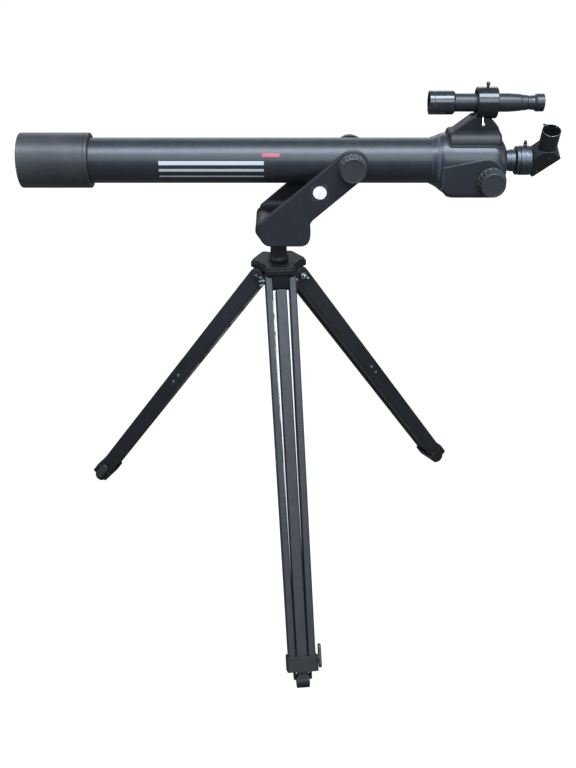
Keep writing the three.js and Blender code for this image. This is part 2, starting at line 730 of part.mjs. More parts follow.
function foot() {
  const { radius, z } = FOOT;
  const half = 9.3;
  const disc = rod(radius, -half, half, "y", 18);
  const shank = box(-9.5, 9.5, -7.8, 7.8, 0, 11.4);
  const holes = [0, 1, 2, 3].map((i) => {
    const angle = rad(45 + 90 * i);
    return rod(1.3, -20, 20, "y", 6).translate(5.4 * Math.cos(angle), 0, 5.4 * Math.sin(angle));
  });
  const ground = box(-40, 40, -40, 40, -40, -z).rotateY(LEG_SPLAY);
  return cut(join(disc, shank), ...holes, ground).translate(0, 0, -LEG_LENGTH);
}

function lockScrew() {
  const shaft = rod(LOCK.r, INNER.width / 2 + 0.3, 24, "y", 12);
  const hub = rod(5, CLAMP.halfWidth + 0.4, 27, "y", 12);
  const wing = sidePlate(roundedRect(-6.5, 6.5, -14, 20, 6), 24.2, 28.4, 3);
  const eye = rod(1.8, 20, 32, "y", 8).translate(0, 0, -10);
  return cut(join(shaft, hub, wing), eye).translate(0, 0, LOCK.at);
}

function hingeBolt() {
  const out = RAIL.top + RAIL.width;
  const profile = [
    [0, -out - 9.5], [BOLT_R, -out - 9.5], [BOLT_R, out + 0.4], [5.2, out + 0.4], [5, out + 2.4],
    [3.2, out + 4], [0, out + 4.4],
  ];
  return turned(profile, "y", 12);
}

function wingNut() {
  const out = -(RAIL.top + RAIL.width);
  const nut = tube(BOLT_R + 0.25, 5, out - 5.4, out - 0.5, "y", 12);
  const wings = [-1, 1].map((side) => {
    const shape = polygon([[3.8 * side, out - 0.9], [8.5 * side, out - 3.4], [9 * side, out - 9],
      [6.4 * side, out - 9.4], [4.2 * side, out - 5]]);
    return floorPlate(shape, -1.3, 1.3);
  });
  return join(nut, ...wings).rotateY(rad(35));
}

function leg(name, azimuth) {
  const tilted = new THREE.Group();
  tilted.rotation.y = -LEG_SPLAY;
  tilted.position.set(LEG_PIVOT.r, 0, LEG_PIVOT.z);
  tilted.add(
    piece(name + "_rail_a", outerRail(1), look.rail()),
    piece(name + "_rail_b", outerRail(-1), look.rail()),
    piece(name + "_inner_rail", innerRail(), look.rail()),
    piece(name + "_clamp", clampBracket(), look.foot()),
    piece(name + "_lock_screw", lockScrew(), look.knob()),
    piece(name + "_foot", foot(), look.foot()),
    piece(name + "_hinge_bolt", hingeBolt(), look.steel()),
    piece(name + "_wing_nut", wingNut(), look.steel()),
  );
  const placed = new THREE.Group();
  placed.rotation.z = rad(azimuth);
  placed.add(tilted);
  return placed;
}

// ---------- the whole ----------
const instrument = new THREE.Group();
instrument.position.z = TUBE_Z;
instrument.add(
  mainTube(),
  dewShield(),
  ...objective(),
  pivotInsert("pivot_insert_near", -1),
  pivotInsert("pivot_insert_far", 1),
  focuserHousing(),
  drawtube(),
  focusRack(),
  pinionShaft(),
  focusKnob("focus_knob_near", -1),
  focusKnob("focus_knob_far", 1),
  eyepieceCollar(),
  collarScrew(),
  diagonal(),
  finderBracket(),
  ...Object.entries(FINDER_SCREWS).map(([side, place]) => finderScrew(side, place)),
  ...finder(),
  forkYoke(),
  altitudeKnob("altitude_knob_near", -1),
  altitudeKnob("altitude_knob_far", 1),
);

const telescope = new THREE.Group();
telescope.add(instrument, tripodHub(), azimuthBolt());
for (const [name, azimuth] of Object.entries(LEG_AZIMUTH)) telescope.add(leg(name, azimuth));
const outline = new THREE.Box3().setFromObject(telescope, true);
const middle = outline.getCenter(new THREE.Vector3());
telescope.position.set(-middle.x, -middle.y, 0);

export default telescope;
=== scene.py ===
"""Looks for the small refracting telescope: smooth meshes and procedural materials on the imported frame.

Shapes are written in millimetres from the azimuth axis at ground level, and become metres when a
mesh is built. A leg's pieces are drawn in the leg's own axes: the hinge is the origin, z runs up
the leg and x faces outwards.
"""

import json
import math
from types import SimpleNamespace

import bmesh
import bpy
from mathutils import Matrix, Vector

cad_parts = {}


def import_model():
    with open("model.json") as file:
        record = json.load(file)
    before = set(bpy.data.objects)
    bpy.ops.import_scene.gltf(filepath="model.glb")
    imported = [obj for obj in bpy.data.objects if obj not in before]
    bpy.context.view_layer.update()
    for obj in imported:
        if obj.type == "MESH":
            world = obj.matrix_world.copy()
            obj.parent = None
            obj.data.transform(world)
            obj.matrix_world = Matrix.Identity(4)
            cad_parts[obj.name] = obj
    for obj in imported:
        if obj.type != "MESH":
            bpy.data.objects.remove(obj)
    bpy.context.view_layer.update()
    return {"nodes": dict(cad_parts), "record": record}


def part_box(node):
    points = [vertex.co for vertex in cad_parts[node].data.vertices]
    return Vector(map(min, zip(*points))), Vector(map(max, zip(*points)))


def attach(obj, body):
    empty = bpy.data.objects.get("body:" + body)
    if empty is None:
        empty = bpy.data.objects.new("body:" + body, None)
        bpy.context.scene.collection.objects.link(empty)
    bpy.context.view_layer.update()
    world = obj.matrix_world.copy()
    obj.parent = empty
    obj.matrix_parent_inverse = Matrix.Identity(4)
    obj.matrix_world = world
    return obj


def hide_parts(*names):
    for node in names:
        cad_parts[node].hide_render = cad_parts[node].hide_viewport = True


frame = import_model()

MM = 0.001
LEGS = ("front", "right", "left")
ROUND = 128  # facets of a large round
SMALL_ROUND = 40  # facets of a small round
CORNER_STEPS = 4  # facets of a rounded corner


# ---------- what the frame says ----------
def ground_under(node):
    """The point on the ground under the middle of a CAD node, in metres."""
    low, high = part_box(node)
    return Vector(((low.x + high.x) / 2, (low.y + high.y) / 2, 0))


AZIMUTH_AXIS = ground_under("azimuth_bolt")
FROM_AXIS = Matrix.Translation(AZIMUTH_AXIS)


def extent(node):
    """A CAD node's box at rest and its middle, in millimetres from the azimuth axis."""
    low, high = ((Vector(corner) - AZIMUTH_AXIS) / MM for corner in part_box(node))
    middle = (low + high) / 2
    return SimpleNamespace(
        x0=low.x, y0=low.y, z0=low.z, x1=high.x, y1=high.y, z1=high.z,
        cx=middle.x, cy=middle.y, cz=middle.z,
    )


BODY_OF = {
    node: body
    for body, nodes in frame["record"]["behaviour"]["bodies"].items()
    for node in nodes
}
SLOT_OF = {part["node"]: part["material_slot"] for part in frame["record"]["subparts"]}
MOUNT_AT = {
    mount["name"]: (Vector(mount["pos_m"]) - AZIMUTH_AXIS) / MM for mount in frame["record"]["mounts"]
}
MOUNT_AXIS = {mount["name"]: Vector(mount["axis"]) for mount in frame["record"]["mounts"]}

TUBE = extent("main_tube")
AXIS_Z = TUBE.cz
TUBE_R = (TUBE.z1 - TUBE.z0) / 2
FINDER_Z = extent("finder_cell").cz
PIVOT = extent("pivot_insert_near")
PINION = extent("focus_knob_near")
HUB = extent("tripod_hub")
FORK = extent("fork_yoke")


# ---------- outlines ----------
def rounded(points, radius, closed=True, steps=CORNER_STEPS):
    """A flat outline with its corners turned into arcs. The radius is one number or one per corner."""
    count = len(points)
    radii = radius if isinstance(radius, (list, tuple)) else [radius] * count
    outline = []
    for i, point in enumerate(points):
        corner = Vector(point)
        to_last = Vector(points[i - 1]) - corner
        to_next = Vector(points[(i + 1) % count]) - corner
        end_of_line = not closed and i in (0, count - 1)
        if end_of_line or radii[i] < 0.02 or min(to_last.length, to_next.length) < 0.02:
            outline.append(corner)
            continue
        turn = math.pi - to_last.angle(to_next)
        reach = min(radii[i] * math.tan(turn / 2), 0.48 * to_last.length, 0.48 * to_next.length)
        if turn < 0.1 or turn > 3.1:
            outline.append(corner)
            continue
        size = reach / math.tan(turn / 2)
        bisector = (to_last.normalized() + to_next.normalized()).normalized()
        centre = corner + bisector * (size / math.cos(turn / 2))
        first = corner + to_last.normalized() * reach - centre
        last = corner + to_next.normalized() * reach - centre
        for k in range(steps + 1):
            share = k / steps
            blend = math.sin((1 - share) * turn) * first + math.sin(share * turn) * last
            outline.append(centre + blend / math.sin(turn))
    return outline


def rounded_box(u0, u1, v0, v1, radius, steps=CORNER_STEPS):
    """A rectangle with rounded corners, or with one radius for each."""
    return rounded([(u0, v0), (u1, v0), (u1, v1), (u0, v1)], radius, steps=steps)


def circle(radius, centre=(0, 0), facets=SMALL_ROUND, start=0.0, end=2 * math.pi):
    """Points round a circle, or along an arc of it when an end is given."""
    whole = abs(end - start) > 2 * math.pi - 1e-6
    steps = facets if whole else facets - 1
    angles = [start + (end - start) * k / steps for k in range(facets)]
    return [Vector((centre[0] + radius * math.cos(a), centre[1] + radius * math.sin(a))) for a in angles]


def curve_through(start, control, end, steps=10):
    """Points along a quadratic curve, without the first."""
    points = []
    for k in range(1, steps + 1):
        t = k / steps
        a, b, c = (1 - t) ** 2, 2 * t * (1 - t), t * t
        points.append(tuple(a * s + b * m + c * e for s, m, e in zip(start, control, end)))
    return points


def wound(outline):
    """The outline as vectors, counter-clockwise."""
    points = [Vector(p) for p in outline]
    area = sum(p.cross(points[(i + 1) % len(points)]) for i, p in enumerate(points))
    return points if area > 0 else points[::-1]


def inset(outline, distance):
    """A counter-clockwise outline moved inwards."""
    moved = []
    for i, here in enumerate(outline):
        before = (here - outline[i - 1]).normalized()
        after = (outline[(i + 1) % len(outline)] - here).normalized()
        left = Vector((-before.y - after.y, before.x + after.x)).normalized()
        slant = max(0.35, left.dot(Vector((-before.y, before.x))))
        moved.append(here + left * (distance / slant))
    return moved


# ---------- meshes ----------
def build(name, points, faces, move=None):
    """A new object from points in millimetres, moved by a matrix in millimetres."""
    if move is not None:
        points = [move @ Vector(p) for p in points]
    mesh = bpy.data.meshes.new(name)
    mesh.from_pydata([Vector(p) * MM for p in points], [], faces)
    work = bmesh.new()
    work.from_mesh(mesh)
    bmesh.ops.remove_doubles(work, verts=work.verts, dist=1e-7)
    bmesh.ops.recalc_face_normals(work, faces=work.faces)
    work.to_mesh(mesh)
    work.free()
    obj = bpy.data.objects.new(name, mesh)
    obj.matrix_world = FROM_AXIS
    bpy.context.scene.collection.objects.link(obj)
    return obj


def join_rings(rings, looped):
    """Faces between rings of point numbers. A ring of one point closes the form on its axis."""
    faces = []
    pairs = list(zip(rings, rings[1:]))
    if looped:
        pairs.append((rings[-1], rings[0]))
    for a, b in pairs:
        count = max(len(a), len(b))
        for k in range(count):
            n = (k + 1) % count
            corners = [a[k % len(a)], a[n % len(a)], b[n % len(b)], b[k % len(b)]]
            face = list(dict.fromkeys(corners))
            if len(face) > 2:
                faces.append(face)
    return faces


def groove_at(angle, count):
    """0 on a rib and 1 in the middle of a groove, for a knob with that many grooves."""
    return (0.5 + 0.5 * math.cos(count * angle)) ** 2.2


def lathe(name, profile, axis="X", centre=(0, 0, 0), facets=ROUND, grooves=0, move=None):
    """A turned form from (radius, distance along the axis[, groove depth]) points.

    The profile closes on itself, or on the axis when it starts there.
    """
    points, rings = [], []
    for station in profile:
        radius, along = station[0], station[1]
        depth = station[2] if len(station) > 2 else 0
        count = 1 if radius < 1e-6 else facets
        rings.append(list(range(len(points), len(points) + count)))
        for k in range(count):
            angle = 2 * math.pi * k / facets
            r = radius - (depth * groove_at(angle, grooves) if grooves else 0)
            u, v = r * math.cos(angle), r * math.sin(angle)
            place = {"X": (along, u, v), "Y": (u, along, v), "Z": (u, v, along)}[axis]
            points.append(Vector(place) + Vector(centre))
    return build(name, points, join_rings(rings, profile[0][0] > 1e-6), move)


def tube(name, inner, outer, start, end, edge=0.4, **where):
    """A turned tube with rounded rims."""
    outline = rounded([(inner, start), (outer, start), (outer, end), (inner, end)], edge)
    return lathe(name, outline, **where)


def rod(name, radius, start, end, edge=0.0, **where):
    """A turned rod with rounded ends."""
    outline = rounded([(0, start), (radius, start), (radius, end), (0, end)], edge, closed=False)
    return lathe(name, outline, **where)


def loft(name, rings, move=None):
    """A skin over rings of points, with a flat face on each end."""
    count = len(rings[0])
    numbered = [list(range(i * count, (i + 1) * count)) for i in range(len(rings))]
    faces = join_rings(numbered, False) + [numbered[0][::-1], numbered[-1]]
    return build(name, [p for ring in rings for p in ring], faces, move)


def prism(name, outline, plane, low, high, fillet=0.6, steps=3, move=None):
    """A flat outline given thickness across its plane, with rounded edges round both faces."""
    outline = wound(outline)
    quarter = [math.pi / 2 * k / steps for k in range(steps + 1)] if fillet else [math.pi / 2]
    levels = [(fillet * (1 - math.sin(a)), fillet * (1 - math.cos(a))) for a in quarter]
    heights = [(i, low + h) for i, h in levels] + [(i, high - h) for i, h in reversed(levels)]
    rings = []
    for distance, height in heights:
        ring = inset(outline, distance) if distance > 1e-6 else outline
        place = {
            "XY": lambda p: (p.x, p.y, height),
            "XZ": lambda p: (p.x, height, p.y),
            "YZ": lambda p: (height, p.x, p.y),
        }[plane]
        rings.append([place(p) for p in ring])
    return loft(name, rings, move)


def block(name, x0, x1, y0, y1, z0, z1, fillet=0.0, move=None):
    """A box, rounded on its upright and level edges."""
    return prism(name, rounded_box(x0, x1, y0, y1, fillet), "XY", z0, z1, fillet, move=move)


def combine(obj, others, operation):
    """Adds, cuts away or keeps only what is inside the other meshes, which are used up."""
    for other in others:
        modifier = obj.modifiers.new("combine", "BOOLEAN")
        modifier.operation = operation
        modifier.solver = "MANIFOLD"
        modifier.object = other
        graph = bpy.context.evaluated_depsgraph_get()
        mesh = bpy.data.meshes.new_from_object(obj.evaluated_get(graph))
        obj.modifiers.clear()
        obj.data = mesh
        bpy.data.objects.remove(other)
    return obj


def cut(obj, *tools):
    return combine(obj, tools, "DIFFERENCE")


def fuse(obj, *others):
    return combine(obj, others, "UNION")


def shade(obj, material, sharp=36):
    """Smooth shading that keeps edges sharper than an angle, and the piece's material."""
    obj.data.shade_smooth()
    obj.data.set_sharp_from_angle(angle=math.radians(sharp))
    weighted = obj.modifiers.new("weighted normals", "WEIGHTED_NORMAL")
    weighted.keep_sharp = True
    obj.data.materials.clear()
    obj.data.materials.append(material)


def stand_in(obj, node, material=None, sharp=36):
    """The piece stands for a CAD node, on that node's body and with its finish."""
    shade(obj, material or FINISH[SLOT_OF[node]], sharp)
    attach(obj, BODY_OF[node])
    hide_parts(node)
    return obj


def fitting(obj, host, material, sharp=36):
    """A small extra piece that rides with a CAD node."""
    shade(obj, material, sharp)
    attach(obj, BODY_OF[host])
    return obj


# ---------- materials ----------
class Shader:
    """A material's node tree with short ways to add and link nodes."""

    def __init__(self, name):
        self.material = bpy.data.materials.new(name)
        self.material.use_nodes = True
        self.tree = self.material.node_tree
        self.skin = self.tree.nodes["Principled BSDF"]
        self.place = self.add("TexCoord").outputs["Object"]

    def add(self, kind, **settings):
        node = self.tree.nodes.new("ShaderNode" + kind)
        for key, value in settings.items():
            setattr(node, key, value)
        return node

    def feed(self, socket, value):
        if isinstance(value, bpy.types.NodeSocket):
            self.tree.links.new(value, socket)
        else:
            socket.default_value = value

    def noise(self, scale, detail=3.0, roughness=0.5, stretch=None):
        place = self.place
        if stretch:
            mapping = self.add("Mapping")
            self.feed(mapping.inputs["Vector"], place)
            mapping.inputs["Scale"].default_value = stretch
            place = mapping.outputs["Vector"]
        node = self.add("TexNoise")
        self.feed(node.inputs["Vector"], place)
        node.inputs["Scale"].default_value = scale
        node.inputs["Detail"].default_value = detail
        node.inputs["Roughness"].default_value = roughness
        return node.outputs["Fac"]

    def between(self, value, low, high, start=0.0, end=1.0):
        """The value stretched so that low gives start and high gives end."""
        node = self.add("MapRange", interpolation_type="SMOOTHSTEP")
        self.feed(node.inputs["Value"], value)
        limits = zip(("From Min", "From Max", "To Min", "To Max"), (low, high, start, end))
        for key, limit in limits:
            node.inputs[key].default_value = limit
        return node.outputs["Result"]

    def math(self, operation, first, second=0.0):
        node = self.add("Math", operation=operation)
        self.feed(node.inputs[0], first)
        self.feed(node.inputs[1], second)
        return node.outputs[0]

    def axis(self, name):
        node = self.add("SeparateXYZ")
        self.feed(node.inputs[0], self.place)
        return node.outputs[name]

    def mix(self, share, first, second):
        node = self.add("Mix", data_type="RGBA")
        self.feed(node.inputs["Factor"], share)
        self.feed(node.inputs["A"], first)
        self.feed(node.inputs["B"], second)
        return node.outputs["Result"]

    def wear_and_highlight_edges(self, radius=0.0009):
        """1 on outer edges of about this radius in metres, and 0 on flat parts."""
        bevel = self.add("Bevel", samples=6)
        bevel.inputs["Radius"].default_value = radius
        dot = self.add("VectorMath", operation="DOT_PRODUCT")
        self.feed(dot.inputs[0], bevel.outputs["Normal"])
        self.feed(dot.inputs[1], self.add("NewGeometry").outputs["Normal"])
        return self.between(dot.outputs["Value"], 0.995, 0.90)

    def facing_up(self):
        node = self.add("SeparateXYZ")
        self.feed(node.inputs[0], self.add("NewGeometry").outputs["Normal"])
        return self.between(node.outputs["Z"], 0.3, 1.0)

    def bump(self, height, depth, strength=1.0, under=None):
        """A surface relief of that depth in metres."""
        node = self.add("Bump")
        node.inputs["Strength"].default_value = strength
        node.inputs["Distance"].default_value = depth
        self.feed(node.inputs["Height"], height)
        if under is not None:
            self.feed(node.inputs["Normal"], under)
        return node.outputs["Normal"]

    def finish(self, colour, roughness, metallic=0.0, normal=None, coat=0.0, specular=0.5):
        inputs = self.skin.inputs
        self.feed(inputs["Base Color"], colour)
        self.feed(inputs["Roughness"], roughness)
        self.feed(inputs["Metallic"], metallic)
        self.feed(inputs["Coat Weight"], coat)
        self.feed(inputs["Specular IOR Level"], specular)
        inputs["Coat Roughness"].default_value = 0.12
        if normal is not None:
            self.feed(inputs["Normal"], normal)
        return self.material


def tint(colour, factor):
    return (*(min(1.0, c * factor) for c in colour), 1.0)


def coated(name, colour, roughness, grain, edge, dust=0.04, coat=0.0, metallic=0.0, specular=0.5):
    """Paint or moulded plastic: mottled colour, fine relief, faint dust, paler edges and scratches.

    The grain is (size in metres, depth in metres), and edge is how far the edges pale. The paler edges are
    partly wear and partly painted highlight along rounded edges.
    """
    s = Shader(name)
    size, depth = grain
    patches = s.between(s.noise(28, 4, 0.6), 0.3, 0.7)
    body = s.mix(patches, tint(colour, 0.9), tint(colour, 1.12))
    dusty = s.math("MULTIPLY", s.between(s.noise(75, 6, 0.7), 0.45, 0.75, 0, dust), s.facing_up())
    body = s.mix(dusty, body, (0.30, 0.31, 0.32, 1))
    marks = s.between(s.noise(90, 2, 0.5, stretch=(0.5, 9, 1.5)), 0.71, 0.77, 0, 0.08)
    body = s.mix(marks, body, tint(colour, 6))
    # paler edges: partly edge wear, partly painted highlight on rounded edges
    body = s.mix(s.math("MULTIPLY", s.wear_and_highlight_edges(), edge), body, tint(colour, 7))
    rough = s.between(s.noise(110, 5, 0.65), 0.3, 0.7, roughness - 0.02, roughness + 0.04)
    normal = s.bump(s.noise(1 / size, 2, 0.5), depth)
    return s.finish(body, rough, metallic, normal, coat, specular)


def metal(name, colour, roughness, brushed, tarnish):
    """Bare or plated metal with fine turning marks, and darker where it has tarnished."""
    s = Shader(name)
    spots = s.between(s.noise(140, 5, 0.7), 0.5, 0.75, 0, tarnish)
    body = s.mix(spots, tint(colour, 1.0), tint(colour, 0.35))
    rough = s.between(s.noise(260, 4, 0.6), 0.3, 0.7, roughness * 0.8, roughness * 1.35)
    normal = s.bump(s.noise(900, 2, 0.5, stretch=(brushed, 1, 1)), 0.000004, 0.5)
    return s.finish(body, rough, 1.0, normal)


def chipped_gloss(rim_at):
    """Semi-gloss black whose coat is chipped off in flecks behind the front rim."""
    colour = (0.030, 0.031, 0.033)
    s = Shader("gloss_black_chipped")
    patches = s.between(s.noise(24, 4, 0.6), 0.3, 0.7)
    body = s.mix(patches, tint(colour, 0.8), tint(colour, 1.25))
    smears = s.between(s.noise(34, 6, 0.75), 0.5, 0.85, 0, 0.03)
    body = s.mix(smears, body, (0.20, 0.23, 0.24, 1))
    near_rim = s.between(s.axis("X"), (rim_at + 9) * MM, (rim_at + 1.2) * MM)
    flecks = s.between(s.noise(420, 5, 0.75), 0.60, 0.66)
    chips = s.math("MULTIPLY", near_rim, flecks)
    body = s.mix(chips, body, (0.55, 0.57, 0.60, 1))
    rough = s.between(s.noise(85, 6, 0.7), 0.3, 0.7, 0.39, 0.45)
    relief = s.bump(s.noise(1500, 2, 0.5), 0.000006)
    normal = s.bump(s.math("MULTIPLY", chips, -1.0), 0.00015, under=relief)
    return s.finish(body, rough, 0.0, normal, coat=0.04, specular=0.35)


def inner_strip(s):
    """1 on the inner edge of a leg's left rail, fading down the leg."""
    lean, at_hinge = 0.0083, 0.0126  # the rail's inner face, as a slope and in metres at the hinge
    inner = s.math("ADD", s.math("MULTIPLY", s.axis("Z"), lean), at_hinge)
    inwards = s.math("ADD", s.axis("Y"), inner)
    on_rail = s.between(inwards, 0.0006, 0.0002)
    strip = s.math("MULTIPLY", s.between(inwards, -0.0022, -0.0012), on_rail)
    return s.math("MULTIPLY", strip, s.between(s.axis("Z"), -0.42, -0.12))


def bracket_black():
    """Matt black on the foot and rib of the finder bracket, and glossy on its ring."""
    s = Shader("bracket_black")
    body = s.mix(s.between(s.noise(30, 4, 0.6), 0.3, 0.7), (0.007, 0.008, 0.010, 1), (0.011, 0.012, 0.014, 1))
    # paler edges: partly edge wear, partly painted highlight on rounded edges
    body = s.mix(s.math("MULTIPLY", s.wear_and_highlight_edges(), 0.5), body, (0.08, 0.09, 0.11, 1))
    on_ring = s.between(s.axis("Z"), (FINDER_Z - 10) * MM, (FINDER_Z - 4) * MM)
    rough = s.between(on_ring, 0.0, 1.0, 0.50, 0.24)
    coat = s.between(on_ring, 0.0, 1.0, 0.0, 0.55)
    return s.finish(body, rough, 0.0, s.bump(s.noise(1100, 2, 0.5), 0.000006), coat, specular=0.4)


def worn_rail_with_sheen():
    """Slate-grey satin lacquer on a rail, scraped to bare metal along its inner edge."""
    colour = (0.014, 0.0155, 0.018)
    s = Shader("rail_black")
    patches = s.between(s.noise(45, 5, 0.65), 0.3, 0.7)
    body = s.mix(patches, tint(colour, 0.8), tint(colour, 1.15))
    # lighter towards the hinge: painted sheen, the front light's reflection on the upper rail
    painted_sheen_near_head = s.between(s.axis("Z"), -0.30, -0.02, 0, 0.8)
    body = s.mix(painted_sheen_near_head, body, tint(colour, 2.0))
    specks = s.between(s.noise(520, 3, 0.6), 0.60, 0.72, 0, 0.18)
    body = s.mix(specks, body, tint(colour, 2.4))
    drawn = s.between(s.noise(60, 3, 0.6, stretch=(9, 9, 0.25)), 0.42, 0.62, 0, 0.35)
    body = s.mix(drawn, body, tint(colour, 1.35))
    scraped = s.between(s.noise(70, 6, 0.75, stretch=(1, 1, 0.3)), 0.47, 0.52)
    edges = s.math("MULTIPLY", s.wear_and_highlight_edges(0.0011), scraped)
    body = s.mix(edges, body, (0.55, 0.56, 0.57, 1))
    body = s.mix(s.math("MULTIPLY", inner_strip(s), scraped), body, (0.60, 0.55, 0.53, 1))
    rough = s.between(s.noise(150, 5, 0.65), 0.3, 0.7, 0.40, 0.54)
    normal = s.bump(s.noise(1800, 2, 0.5), 0.000008)
    return s.finish(body, rough, 0.1, normal, specular=0.35)


def glass(name, colour):
    """A coated lens: dark behind, with a faint tint on the surface."""
    s = Shader(name)
    body = s.mix(s.between(s.noise(30, 2), 0.3, 0.7), tint(colour, 0.8), tint(colour, 1.2))
    return s.finish(body, s.between(s.noise(50, 4), 0.3, 0.7, 0.02, 0.06), 0.0, None, coat=1.0)


def mirror():
    s = Shader("mirror")
    body = s.mix(s.between(s.noise(60, 4), 0.4, 0.8), (0.86, 0.87, 0.89, 1), (0.7, 0.71, 0.73, 1))
    return s.finish(body, s.between(s.noise(90, 4), 0.3, 0.7, 0.02, 0.05), 1.0)


def printed(name, colour):
    """Screen-printed ink, slightly worn through."""
    s = Shader(name)
    worn = s.between(s.noise(300, 6, 0.75), 0.62, 0.72, 0, 0.6)
    body = s.mix(worn, tint(colour, 1.0), tint(colour, 0.25))
    return s.finish(body, s.between(s.noise(200, 4), 0.3, 0.7, 0.45, 0.6), normal=s.bump(s.noise(1500), 1e-5))


def paper():
    """A plain pale sticker with a faint lilac swirl."""
    s = Shader("sticker_paper")
    swirl = s.between(s.noise(130, 3, 0.6), 0.45, 0.6)
    body = s.mix(swirl, (0.93, 0.90, 0.96, 1), (0.74, 0.68, 0.84, 1))
    return s.finish(body, s.between(s.noise(90), 0.3, 0.7, 0.35, 0.5), normal=s.bump(s.noise(700), 2e-5))


def film():
    """Clear glossy film over dark plastic."""
    s = Shader("sticker_film")
    body = s.mix(s.between(s.noise(120, 4), 0.4, 0.7), (0.020, 0.022, 0.030, 1), (0.035, 0.038, 0.052, 1))
    # lighter edges: painted highlight where the clear film's edge catches the light
    edge = s.wear_and_highlight_edges(0.0007)
    body = s.mix(s.math("MULTIPLY", edge, 0.8), body, (0.16, 0.17, 0.24, 1))
    return s.finish(body, s.between(s.noise(60, 3), 0.3, 0.7, 0.14, 0.24), coat=0.5)


FINISH = {
    "black_paint": coated("black_paint", (0.016, 0.018, 0.022), 0.36, (0.0007, 6e-6), 0.5),
    "gloss_black": coated("gloss_black", (0.016, 0.019, 0.025), 0.32, (0.0008, 6e-6), 0.5, coat=0.1),
    "black_plastic": coated("black_plastic", (0.018, 0.019, 0.023), 0.42, (0.0006, 1.2e-5), 0.35),
    "knob_plastic": coated("knob_plastic", (0.026, 0.029, 0.031), 0.42, (0.0005, 1.2e-5), 0.7),
    "foot_plastic": coated("foot_plastic", (0.010, 0.010, 0.009), 0.52, (0.0007, 1.5e-5), 0.6, specular=0.3),
    "dark_steel": metal("dark_steel", (0.092, 0.102, 0.112), 0.42, 30, 0.15),
    "bright_steel": metal("bright_steel", (0.62, 0.63, 0.64), 0.26, 12, 0.4),
    "brass": metal("brass", (0.60, 0.44, 0.17), 0.30, 8, 0.5),
    "rail_black": worn_rail_with_sheen(),
    "lens_glass": glass("lens_glass", (0.020, 0.026, 0.045)),
    "mirror": mirror(),
}
CAST = coated("cast_black", (0.012, 0.013, 0.018), 0.50, (0.0009, 2e-5), 0.45)
HUB_BLACK = coated("hub_black", (0.009, 0.0095, 0.0115), 0.55, (0.0009, 2e-5), 0.5, specular=0.28)
FINDER_GLOSS = coated("finder_gloss", (0.014, 0.016, 0.020), 0.18, (0.0008, 4e-6), 0.5, coat=0.6)
# edge 0.9: strong pale edges, painted highlight along the side covers' lips with some edge wear
HOUSING_BLACK = coated("housing_black", (0.018, 0.021, 0.026), 0.34, (0.0009, 6e-6), 0.9, coat=0.1)
DIAGONAL_BLACK = coated("diagonal_black", (0.010, 0.012, 0.013), 0.46, (0.0006, 1.2e-5), 0.5)
# near-black matte band: painted shade in the gap round the finder bracket's foot
GAP_SHADE = coated("painted_gap_shade", (0.005, 0.005, 0.006), 0.75, (0.0005, 1.5e-5), 0.1, dust=0.02)
INNER_BLACK = coated("baffle_black", (0.007, 0.007, 0.008), 0.7, (0.0008, 1.5e-5), 0.1, dust=0.02)
WHITE_INK = printed("white_ink", (0.45, 0.47, 0.49))
RED_INK = printed("red_ink", (0.40, 0.06, 0.08))
PAPER = paper()
FILM = film()


# ---------- optical tube ----------
def on_axis(z=0.0):
    """The optical axis, or a line that far above it."""
    return (0, 0, AXIS_Z + z)


def main_tube():
    wall = 1.2
    barrel = tube("main_tube_barrel", TUBE_R - wall, TUBE_R, TUBE.x0, TUBE.x1, centre=on_axis())
    pivot_hole = rod("hole", 6.3, -50, 50, axis="Y", centre=(PIVOT.cx, 0, PIVOT.cz))
    stand_in(cut(barrel, pivot_hole), "main_tube")


def curved_plate(name, x0, x1, low, high, radius=TUBE_R, thickness=0.12, steps=10):
    """A thin plate wrapped on the tube between two heights given as degrees round it."""
    rings = []
    for k in range(steps + 1):
        angle = math.radians(low + (high - low) * k / steps)
        corners = [(x0, radius - 0.3), (x1, radius - 0.3), (x1, radius + thickness), (x0, radius + thickness)]
        rings.append([(x, -r * math.cos(angle), AXIS_Z + r * math.sin(angle)) for x, r in corners])
    return loft(name, rings)


def tube_marks():
    """Plain stripes and a red bar printed on the tube."""
    start, end = TUBE.x0 + 139, TUBE.x0 + 288
    stripes = [(4.5, 14.5), (-12.5, -5.5), (-29.5, -25.5)]
    for i, (low, high) in enumerate(stripes):
        mark = curved_plate(f"tube_stripe_{i + 1}", start, end, low, high)
        fitting(mark, "main_tube", WHITE_INK)
    bar = curved_plate("tube_bar_red", end - 2, end + 22, 25, 34)
    fitting(bar, "main_tube", RED_INK)


def dew_shield():
    e = extent("dew_shield")
    r = (e.z1 - e.z0) / 2
    inner = r - 1.8
    points = [
        (r - 2.4, e.x0), (r, e.x0), (r, e.x1 - 6.2), (r - 0.7, e.x1 - 5.8), (r - 0.7, e.x1 - 5.0),
        (r, e.x1 - 4.6), (r, e.x1), (TUBE_R + 0.6, e.x1), (TUBE_R + 0.6, e.x1 - 3),
        (inner, e.x1 - 3), (inner, e.x0 + 3),
    ]
    radii = [0.8, 2.6, 0.3, 0.1, 0.1, 0.5, 1.3, 0.3, 0.2, 0.5, 1.0]
    shell = lathe("dew_shield_shell", rounded(points, radii, steps=6), centre=on_axis(), facets=160)
    stand_in(shell, "dew_shield", chipped_gloss(e.x0))


def lens_face(edge, bulge, radius, steps=10):
    """Points over a lens face, from its rim to the axis."""
    shares = [1 - k / steps for k in range(steps + 1)]
    return [(radius * t, edge + bulge * (1 - t * t)) for t in shares]


def lens(name, node, front, front_bulge, rear, rear_bulge, radius, z=0.0):
    profile = lens_face(front, front_bulge, radius)[::-1] + lens_face(rear, rear_bulge, radius)
    stand_in(lathe(name, profile, centre=on_axis(z), facets=96), node)


